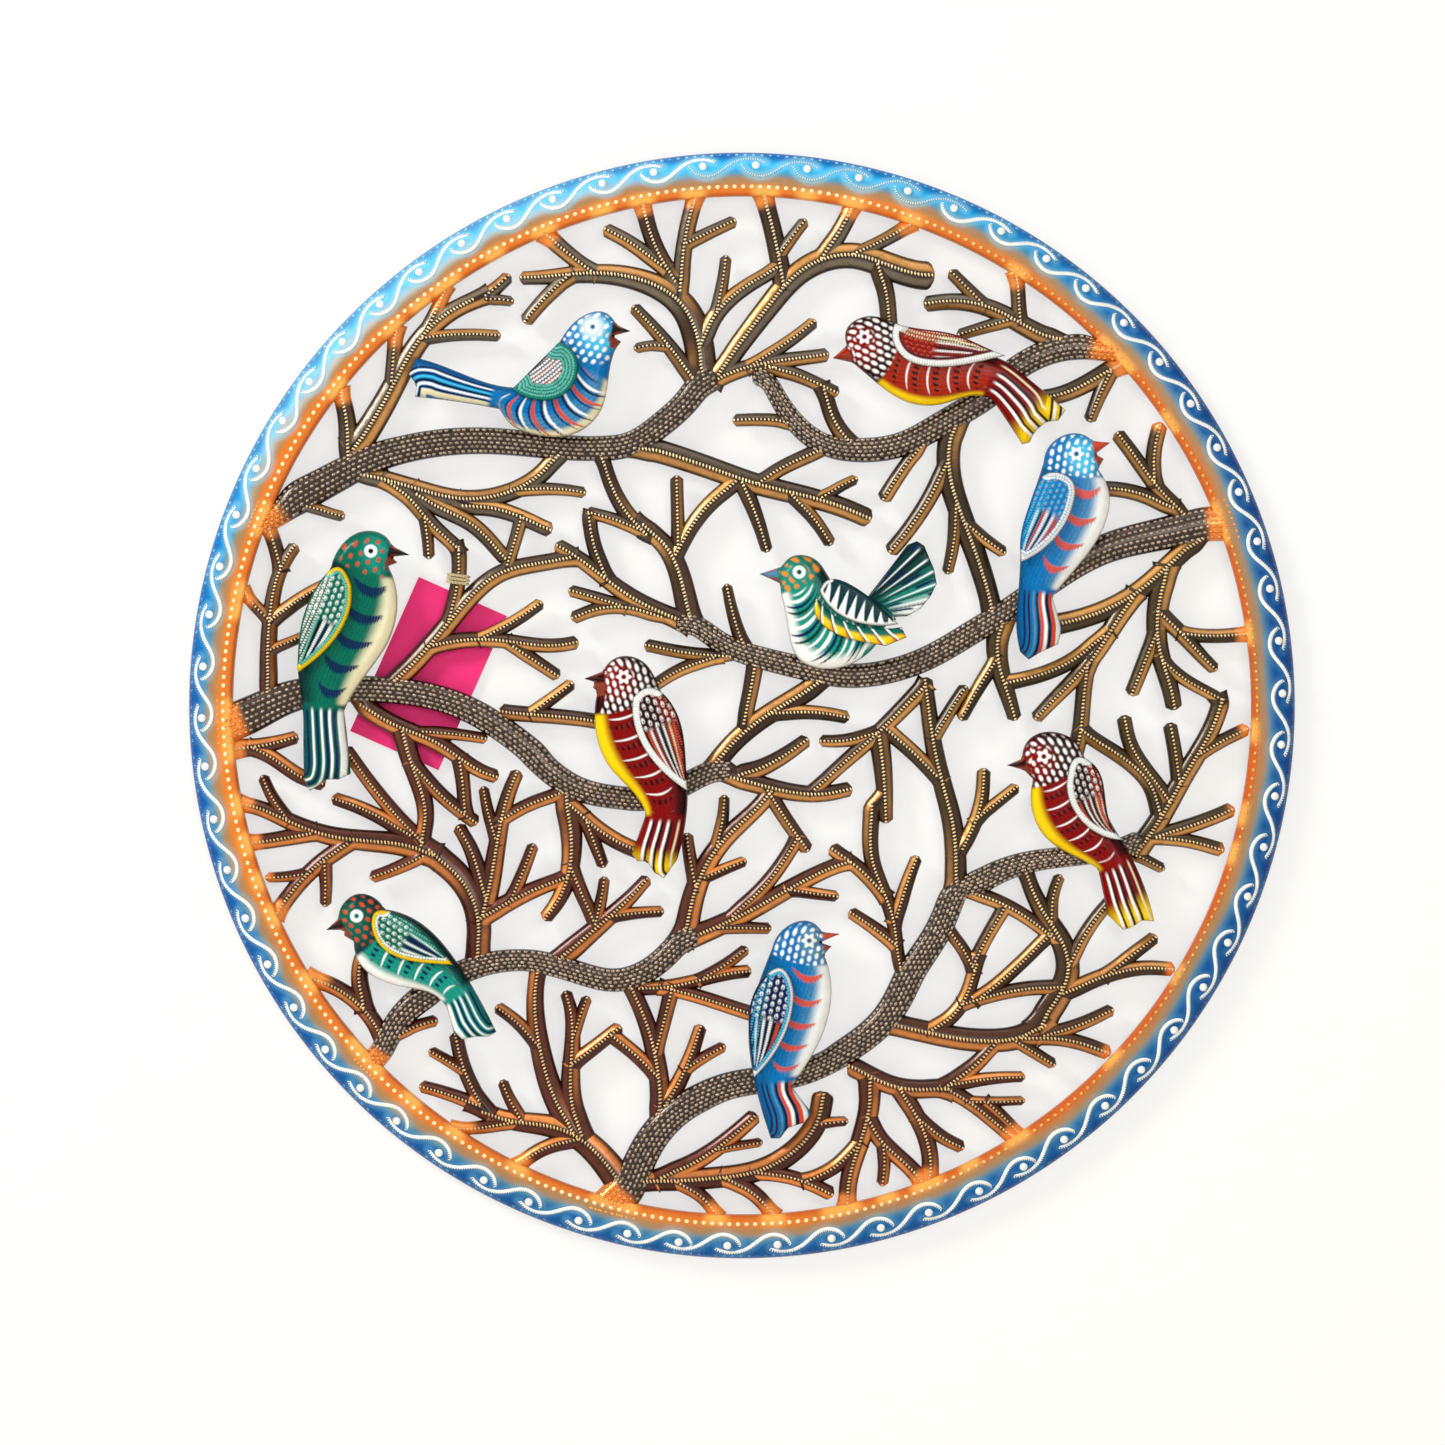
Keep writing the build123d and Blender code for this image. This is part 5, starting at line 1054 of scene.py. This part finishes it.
# A bird's body: a base shaded from its belly to its back, bands over the breast, a dotted head, a striped tail,
# an eye and a beak, each laid over the last where its own mask is 1. The low and high corners are its body's box.
def paintBird(look, outline, low, high):
    eye, *tips = [low + np.array(share) * (high - low) for share in (look["eye"], *look["beaks"])]

    def paint(places, away):
        run, offset, share, total = lengthwise(outline, places, eye, look["belly"])
        neck, tail = look["neck"] * total, look["tail"] * total
        curvedNeck = run + 2.5 * share ** 2
        base = mixed(ink[look["side"]], ink[look["back"]], ease(share, 0.1, 0.85))
        base = mixed(base, ink["steel"] if look["side"] == "blue" else base, ease(-share, 0.1, 0.5) * 0.6)
        streak = np.cos(offset * 5.3 + 1.7 * np.sin(run * 0.9)) + np.cos(offset * 2.9 - run * 0.35)
        grain = 1 + 0.13 * streak + 0.12 * rng.normal(0, 1, len(run))
        base = base * grain[:, None].clip(0.5, 1.5)
        # darker towards the back edge: painted shade on that side of the body
        base = base * (1 - 0.45 * ease(share, 0.3, 1.0))[:, None]
        belly = ease(-share, 1 - 1.9 * look["edgeWidth"], 1 - 0.7 * look["edgeWidth"])
        base = mixed(base, ink[look["edge"]], belly)
        # bands over the breast
        low, high = look["arcSpan"]
        middle, reach = (low + high) / 2, (high - low) / 2
        bulge = look["arcBend"] * (1 - ((share - middle) / reach) ** 2)
        phase = (run - bulge - neck) / look["arcPitch"]
        lift = np.zeros(len(places))
        inBreast = ease(run, neck + 1, neck + 3) * ease(-run, -tail + 1, -tail + 5)
        for colour, place, half in look["arcs"]:
            near = np.abs((phase - place + 0.5) % 1 - 0.5)
            taper = 1 - 0.75 * np.abs((share - middle) / reach) ** 2
            fray = 0.05 * np.sin(offset * 4.6) * (phase > np.round(phase - place) + place) if look["fringe"] else 0
            mask = ease(half * taper + fray - near, -0.02, 0.03)
            if look["broken"] and colour != "white":
                mask = mask * ease(np.cos(offset * 2 * np.pi / 3.0 + np.floor(phase) * 2.1), -0.2, 0.3)
            mask = mask * ease(share, low, low + 0.12) * ease(-share, -high, -high + 0.12) * inBreast
            if look["fringe"]:
                mask = mask * (1 - 0.3 * ease(np.cos(offset * 4.6 + run * 0.8), 0, 1))
            base = mixed(base, ink[colour], mask)
            lift += 0.12 * mask
        # head: a lighter cheek and rows of dots
        cheek = eye + np.array(look["belly"]) * 5
        head = mixed(ink[look["head"]], ink[look["headLight"]], ease(-sizeOf(places - cheek), -15, -4))
        inHead = ease(-curvedNeck, -neck - 1.2, -neck + 1.2)
        base = mixed(base, head, inHead)
        fromEye = sizeOf(places - eye)
        reachOut = np.mean(tips, axis=0) - eye
        far = sizeOf(reachOut)
        ahead = (places - eye) @ (reachOut / far)
        aside = np.abs((places - eye) @ np.array([-reachOut[1], reachOut[0]]) / far)
        beakAway = ahead - 0.56 * far + 0.02 * aside ** 2 * np.sign(5 - aside)
        if look["cheek"]:
            base = mixed(base, ink["white"], ease(look["cheek"] - fromEye, -2.5, 2.5) * 0.7)
        dots = spotted(run, offset, look["dotPitch"], look["dotSize"]) * ease(-curvedNeck, -neck - 0.5, -neck + 0.5)
        dots = dots * ease(fromEye, 4.4, 5.4) * ease(-fromEye, -look["crown"], 3 - look["crown"])
        dots = dots * ease(away, 0.7, 1.6) * ease(-beakAway, 0.4, 1.4)
        base = mixed(base, ink[look["dots"]], dots)
        lift += 0.15 * dots
        # tail: long stripes, its tip dipped in another colour
        dark = ink["maroon" if look["tailBase"] == "red" else "navy"]
        feather = mixed(ink[look["tailBase"]], dark, ease(share, 0.2, 1.0) * 0.5)
        grooves = np.zeros(len(places))
        if look["tailTip"]:
            feather = mixed(feather, ink[look["tailTip"]],
                            ease(run, tail + (total - tail) * 0.5, tail + (total - tail) * 0.85))
        for centre, half, colour in look["tailStripes"]:
            mask = stripe(share, centre, half) * ease(run, tail + 1.5, tail + 5)
            feather = mixed(feather, ink[colour], mask)
            grooves += mask * (0.3 if colour in ("white", "cream") else -0.1)
        inTail = ease(run, tail - 1.5, tail + 1.5) if look["tail"] < 0.9 else 0 * run
        base = mixed(base, feather, inTail)
        lift += grooves * inTail * 0.6
        # eye: a white ring or flower round a dark pupil
        turn = np.arctan2(places[:, 1] - eye[1], places[:, 0] - eye[0])
        reach = 3.4 + (0.75 * np.cos(turn * look["petals"]) if look["petals"] else 0)
        ring = ease(reach - fromEye, -0.35, 0.35)
        base = mixed(base, ink[look["ring"]], ring)
        lift += 0.25 * ring
        base = mixed(base, ink[look["pupil"]], ease(1.35 - fromEye, -0.3, 0.3))
        base = mixed(base, ink["black"], ease(0.55 - fromEye, -0.2, 0.2))
        # beak: horn-coloured, its open mouth a warm line
        beak = ease(beakAway, -0.5, 0.5) * ease(-aside, -8.5, -7.5)
        horn = mixed(ink[look["beak"]], ink["mouth"],
                     ease(-away, -1.6, -0.5) * ease(-ahead, -0.95 * far, -0.7 * far) * 0.7)
        up = np.array([-reachOut[1], reachOut[0]]) / far * np.sign(reachOut[0])
        toTip = tips[0] - eye
        fromMiddle = places - eye - toTip * 0.5
        under = fromMiddle @ up - (fromMiddle @ reachOut) / (toTip @ reachOut) * (toTip @ up)
        horn = mixed(horn, ink["mouth"] * 0.6, ease(-under, 1.6, 3.0) * 0.8)
        base = mixed(base, horn, beak)
        # darker along the outline: painted shade where the formed edge rolls back
        base = mixed(base, base * 0.35, ease(-away, -1.1, -0.1) * 0.75)
        return lift * ease(away, 0.3, 1.5) * (1 - beak), base
    return paint


# A wing: a border and rows of beads that follow its breast-side edge, spots over the shoulder, and long feather
# lines behind them. Along and in are measured on and from that edge.
def paintWing(look, outline, headSpot, bellyWay):
    ring = evenly(outline, int(lengthOf(outline) / paintStep), closed=True)

    def paint(places, away):
        run, offset, share, total = lengthwise(outline, np.vstack([places, ring]), headSpot, bellyWay, 3)
        size = len(places)
        chosen = np.flatnonzero((share[size:] < 0.35) | (run[size:] < total * 0.08))
        gaps = sizeOf(places[:, None] - ring[chosen])
        inward, edgeRun = gaps.min(axis=1), chosen[gaps.argmin(axis=1)] * paintStep
        run, offset, share = run[:size], offset[:size], share[:size]
        base = ink[look["base"]] * (1.0 - 0.2 * ease(share, 0.0, 1.0))[:, None]
        lift = np.zeros(size)
        rowsEnd = look["rimWidth"] + look["rows"] * look["beadPitch"]
        beyond = ease(inward, rowsEnd - 0.3, rowsEnd + 0.3) * ease(away, 0.8, 1.6)
        split = look["split"] * total
        # feather lines run the length of the wing and close towards its tip
        for centre, half, colour in look["feathers"]:
            start = split + 3 * abs(centre)
            mask = stripe(share, centre, half) * ease(run, start - 2, start + 3) * beyond
            teeth = 1.0 if colour == "black" else 0.75 + 0.25 * np.cos(run * 2 * np.pi / 1.25)[:, None]
            base = mixed(base, ink[colour] * teeth, mask)
            lift += 0.22 * mask
        # fine stitches down the back edge
        if look["stitch"]:
            stitches = spotted(run, offset, (1.5, 2.1), (0.5, 0.75)) * ease(share, 0.25, 0.5) * ease(away, 0.8, 1.4)
            base = mixed(base, ink[look["stitch"]], stitches * 0.8)
            lift += 0.25 * stitches
        # shoulder: rounded spots with a dark or bright core, scratched through
        if look["patch"]:
            rim, core = look["patch"]
            shoulder = ease(split + 1 - run, -1.5, 1.5) * beyond
            wide, tall = look["scale"]
            patches = spotted(run - 0.6 * total, offset, (wide, tall), (wide * 0.34, tall * 0.27))
            dash = ease(np.cos(offset * 2 * np.pi / 1.15 + run), -0.6, 0.4)
            base = mixed(base, ink[rim], patches * shoulder * (0.6 + 0.4 * dash))
            cores = spotted(run - 0.6 * total - 0.5, offset, (wide, tall), (wide * 0.15, tall * 0.1))
            base = mixed(base, ink[core], cores * shoulder)
            lift += 0.25 * patches * shoulder
        # a worked middle: close rows of light beads over two dark colours
        if look["middle"]:
            light, one, other = look["middle"]
            rows = spotted(run, offset, (1.75, 1.9), (0.74, 0.66))
            ground = mixed(ink[one], ink[other], ease(np.sin(offset * 2 * np.pi / 5.7), -0.3, 0.3))
            base = mixed(base, mixed(ground, ink[light], rows), beyond)
            lift += 0.28 * rows * beyond
        if look["rows"]:
            rim, pitch = look["rimWidth"], look["beadPitch"]
            beads = spotted(edgeRun, inward - rim - pitch / 2, (pitch * 0.95, pitch), (pitch * 0.44, pitch * 0.42))
            beads = beads * ease(inward, rim - 0.2, rim + 0.2) * ease(-inward, -rowsEnd, -rowsEnd + 0.4)
            base = mixed(base, ink[look["beads"]], beads * 0.9)
            lift += 0.3 * beads
        border = ease(look["rimWidth"] - inward, -0.3, 0.3)
        teeth = 0.82 + 0.18 * np.cos(edgeRun * 2 * np.pi / 1.4)
        base = mixed(base, ink[look["rim"]] * teeth[:, None], border)
        lift += 0.25 * border * teeth
        # overlapping feathers: green at the root, yellow and orange at the tip, white-edged
        if look["lobes"]:
            wave = (run / total * look["lobes"] + 0.5 * share) % 1
            lobe = mixed(ink["green"], ink["yellow"], ease(-share, -0.35, 0.25))
            lobe = mixed(lobe, ink["orange"], ease(wave, 0.6, 0.98) * ease(-share, -0.1, 0.6) * 0.8)
            lobe = mixed(lobe, ink["white"], ease(0.09 - np.abs(wave - 0.14), -0.03, 0.03))
            base = mixed(lobe, ink["black"], ease(0.045 - np.minimum(wave, 1 - wave), -0.03, 0.03))
            lift = 0.4 * np.sin(np.pi * wave)
        # tapering white slashes rising from the pale border
        if look["slashes"]:
            wave = np.abs(((run + 2.0 * share) / look["slashes"] + 0.5) % 1 - 0.5)
            slash = ease(0.24 * (0.8 - share) - wave, -0.04, 0.05)
            slash = slash * ease(-share, -0.75, -0.4) * ease(away, 0.8, 1.6)
            base = mixed(base, ink["navy"], ease(np.cos(run * 4 + offset * 3), 0.2, 0.8) * 0.5 * (1 - border))
            base = mixed(base, ink["white"], slash)
            lift += 0.2 * slash
        # black along the edge: painted shade where the wing stands off the body
        base = mixed(base, ink["black"], ease(-away, -0.6, -0.15) * 0.8)
        return lift * ease(away, 0.3, 1.2), base
    return paint


# Height over the back edge: a rolled edge, a quarter ellipse so deep and so wide, then a slow crown.
def rolled(back, rise, width, crown, crownWidth):
    def height(away):
        return back + 0.5 + rise * roundOff(away, width) + crown * roundOff(away, crownWidth) ** 2
    return height


# For each kind of shape: the share of its depth in the rolled edge, that edge's width, and the same for the crown.
relief = {"body": (0.76, 6.5, 0.12, 14.0), "wing": (0.62, 2.2, 0.1, 8.0)}


# A relief's height over a shape that reaches from low to high.
def formed(kind, low, high):
    edge, edgeWidth, crown, crownWidth = relief[kind]
    return rolled(low, (high - low) * edge, edgeWidth, (high - low) * crown, crownWidth)


# The longest outline of a node's back, and the depths of its back and its front.
def outlineOf(name):
    node = readNode(name)
    low, high = node[0][:, 2].min(), node[0][:, 2].max()
    return max(outlinesAt(node, low), key=lengthOf), low, high


for name, look in birdLooks.items():
    look = {**plainBird, **look}
    finishSlot = name.split("_")[0] + "_paint"
    heap = Heap()
    outline, low, high = outlineOf(name + "_body")
    corners = (outline.min(axis=0), outline.max(axis=0))
    shell(heap, outline, formed("body", low, high), low, paintBird(look, outline, *corners))
    heap.make(name + "Paint", featherFinish, slot=finishSlot, replaces=[name + "_body"])
    eye = corners[0] + np.array(look["eye"]) * (corners[1] - corners[0])
    for wing, wingLook in look["wings"].items():
        heap = Heap()
        outline, low, high = outlineOf(f"{name}_{wing}")
        shell(heap, outline, formed("wing", low, high), low,
              paintWing({**plainWing, **wingLook}, outline, eye, look["belly"]))
        heap.make(f"{name}{wing.title()}", featherFinish, slot=finishSlot, replaces=[f"{name}_{wing}"])


fanLook = {"vanes": 6, "spread": 9}          # the vanes spread from so many millimetres behind the root
tagLook = {"card": paintOf(240, 36, 128), "twine": paintOf(226, 208, 164), "pins": paintOf(44, 36, 30),
           "pinsRubbed": (0.16, 0.13, 0.11)}


# The fan tail: vanes spread from its root, dark along its upper side and white along the lower, each with a
# pale shaft line, a dark slot and a scalloped tip.
def paintFan(root, tip):
    axis = unitOf(tip - root)

    def paint(places, away):
        gap = places - (root - axis * fanLook["spread"])
        far = sizeOf(gap)
        turn = np.arctan2(axis[0] * gap[:, 1] - axis[1] * gap[:, 0], (gap * axis).sum(axis=1))
        low, high = np.quantile(turn, (0.03, 0.97))
        share = (turn - low) / (high - low)
        vane = share * fanLook["vanes"]
        phase = vane - np.floor(vane)
        base = mixed(ink["teal"], ink["deepGreen"], ease(share, 0.3, 0.8))
        pale = ease(-share, -0.36, -0.1) * ease(far, far.max() * 0.35, far.max() * 0.6)
        base = mixed(base, ink["white"], pale * 0.9)
        grain = 1 + 0.2 * np.cos(phase * 2 * np.pi * 4) + 0.1 * rng.normal(0, 1, len(far))
        base = base * grain[:, None].clip(0.4, 1.6)
        shaft = ease(0.075 - np.abs(phase - 0.35), -0.04, 0.04) * ease(far, far.max() * 0.35, far.max() * 0.5)
        base = mixed(base, ink["white"], shaft * ease(-far, -far.max() * 0.97, -far.max() * 0.9))
        slot = ease(0.13 - np.abs(phase - 0.72), -0.05, 0.05) * ease(np.sin(far / 4.2 + vane * 1.3), -0.1, 0.5)
        base = mixed(base, ink["navy"], slot)
        split = ease(0.07 - np.minimum(phase, 1 - phase), -0.03, 0.03)
        base = mixed(base, ink["black"], split * 0.85)
        # black along the edge: painted shade round the rolled edge
        base = mixed(base, ink["black"], ease(-away, -0.6, -0.1) * 0.8)
        return (0.25 * np.sin(np.pi * phase) - 0.2 * split) * ease(away, 0.3, 1.2), base
    return paint


outline, low, high = outlineOf("green_centre_bird_tail")
body = outlineOf("green_centre_bird_body")[0].mean(axis=0)
root, tip = outline[sizeOf(outline - body).argmin()], outline[sizeOf(outline - body).argmax()]
heap = Heap()
shell(heap, outline, rolled(low, 0.45, 1.2, 0.25, 6.0), low, paintFan(root, tip))
heap.make("greenCentreFan", featherFinish, slot="green_paint", replaces=["green_centre_bird_tail"])


# Gives a solid of the frame a material of its own.
def dress(name, material):
    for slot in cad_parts[name].material_slots:
        slot.material = material


# Dyed card: a soft flat colour with paper fibre in it.
card = Finish("dyedCard", **{"Roughness": 0.62})
fibre = card.noise(900.0, 4.0)
cloud = card.noise(40.0, 2.0)
shade = 0.9 + fibre * 0.12 + cloud * 0.1
card.feed("Base Color", card.shaded((*tagLook["card"], 1), shade))
card.bump(fibre, 0.0001, 0.5)
dress("hang_tag", card.material)

# Twine: two-ply cotton, its strands slanting across it.
twine = Finish("twistedTwine", **{"Roughness": 0.8})
strands = twine.node("ShaderNodeTexWave", {"wave_type": "BANDS", "bands_direction": "DIAGONAL"},
                     {"Vector": twine.node("ShaderNodeTexCoord", output=3), "Scale": 420.0, "Distortion": 1.5,
                      "Detail": 2.0})
fuzz = twine.noise(1400.0, 4.0)
tint = 0.55 + strands * 0.4 + fuzz * 0.2
twine.feed("Base Color", twine.shaded((*tagLook["twine"], 1), tint))
twine.bump(strands + fuzz * 0.4, 0.0005)
dress("tag_twine", twine.material)

# Pins and posts: dark paint brushed over steel, rubbed brighter here and there.
pin = Finish("darkPin", **{"Metallic": 0.6, "Coat Weight": 0.2})
rub = pin.noise(500.0, 4.0)
worn = {"stops": [(0.35, tagLook["pins"]), (0.75, tagLook["pinsRubbed"])]}
pin.feed("Base Color", pin.node("ShaderNodeValToRGB", worn, {0: rub}))
pin.feed("Roughness", 0.3 + rub * 0.25)
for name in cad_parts:
    if name.endswith(("_posts", "_rivets", "_post")):
        dress(name, pin.material)


stageLook = {
    "wallColour": (0.95, 0.91, 0.84),
    "floor": -0.45, "wallTop": 2.5, "side": 3, "floorEdge": -3.5, "wallGap": 0.0006,     # metres
    "distance": 2.6,         # camera to wall
    "view": 0.763,           # width of wall that the camera takes in
    "aimX": -0.0103, "aimZ": -0.009,
    "key": 50.0, "fill": 17.0, "top": 5.0,      # watts
    "world": 0.34,
    "wallGlow": 0.64,         # share of the wall that is plain white to the camera
}

# A pale wall and floor: white to the camera, plainly lit elsewhere; the wall shows from the front only.
wallMaterial = Finish("paleWall", **{"Roughness": 0.9, "Base Color": (*stageLook["wallColour"], 1)})
glow = wallMaterial.nodes.new("ShaderNodeEmission")
seen = wallMaterial.nodes.new("ShaderNodeMixShader")
wallMaterial.links.new((wallMaterial.plainRays() * stageLook["wallGlow"]).socket, seen.inputs[0])
wallMaterial.links.new(wallMaterial.shader.outputs[0], seen.inputs[1])
wallMaterial.links.new(glow.outputs[0], seen.inputs[2])
clear = wallMaterial.nodes.new("ShaderNodeBsdfTransparent")
chooser = wallMaterial.nodes.new("ShaderNodeMixShader")
wallMaterial.links.new(wallMaterial.node("ShaderNodeNewGeometry", output=6).socket, chooser.inputs[0])
wallMaterial.links.new(seen.outputs[0], chooser.inputs[1])
wallMaterial.links.new(clear.outputs[0], chooser.inputs[2])
output = next(node for node in wallMaterial.nodes if node.type == "OUTPUT_MATERIAL")
wallMaterial.links.new(chooser.outputs[0], output.inputs[0])


# A flat sheet with four corners.
def stageSheet(name, corners, material):
    mesh = bpy.data.meshes.new(name)
    mesh.from_pydata(corners, [], [(0, 1, 2, 3)])
    mesh.materials.append(material)
    sheet = bpy.data.objects.new(name, mesh)
    bpy.context.scene.collection.objects.link(sheet)


side, behind, drop, top, near = (stageLook[key] for key in ("side", "wallGap", "floor", "wallTop", "floorEdge"))
stageSheet("wall", [(-side, behind, drop), (side, behind, drop), (side, behind, top), (-side, behind, top)],
           wallMaterial.material)
stageSheet("floor", [(-side, near, drop), (side, near, drop), (side, behind, drop), (-side, behind, drop)],
           wallMaterial.material)


# A square white lamp, pointed at the disc's middle.
def lamp(name, place, power, size):
    light = bpy.data.lights.new(name, "AREA")
    light.energy, light.size = power, size
    holder = bpy.data.objects.new(name, light)
    holder.location = place
    holder.rotation_euler = (-Vector(place)).to_track_quat("-Z", "Y").to_euler()
    bpy.context.scene.collection.objects.link(holder)


lamp("keyLamp", (-1.95, -1.45, 1.6), stageLook["key"], 0.7)
lamp("fillLamp", (0.7, -2.5, 0.6), stageLook["fill"], 0.9)
lamp("topLamp", (0.2, -0.9, 1.9), stageLook["top"], 0.9)

world = bpy.data.worlds.new("softRoom")
world.use_nodes = True
bpy.context.scene.world = world
world.node_tree.nodes["Background"].inputs[0].default_value = (1, 1, 1, 1)
sky = Finish.__new__(Finish)
sky.nodes, sky.links = world.node_tree.nodes, world.node_tree.links
strength = stageLook["world"] + sky.plainRays() * (1 - stageLook["world"])
sky.links.new(strength.socket, sky.nodes["Background"].inputs[1])

bpy.context.scene.view_settings.view_transform = "Standard"
camera = bpy.data.cameras.new("frontCamera")
camera.sensor_width = 36.0
camera.lens = 36.0 * stageLook["distance"] / stageLook["view"]
view = bpy.data.objects.new("frontCamera", camera)
view.location = (stageLook["aimX"], -stageLook["distance"], stageLook["aimZ"])
view.rotation_euler = (np.pi / 2, 0, 0)
bpy.context.scene.collection.objects.link(view)
bpy.context.scene.camera = view
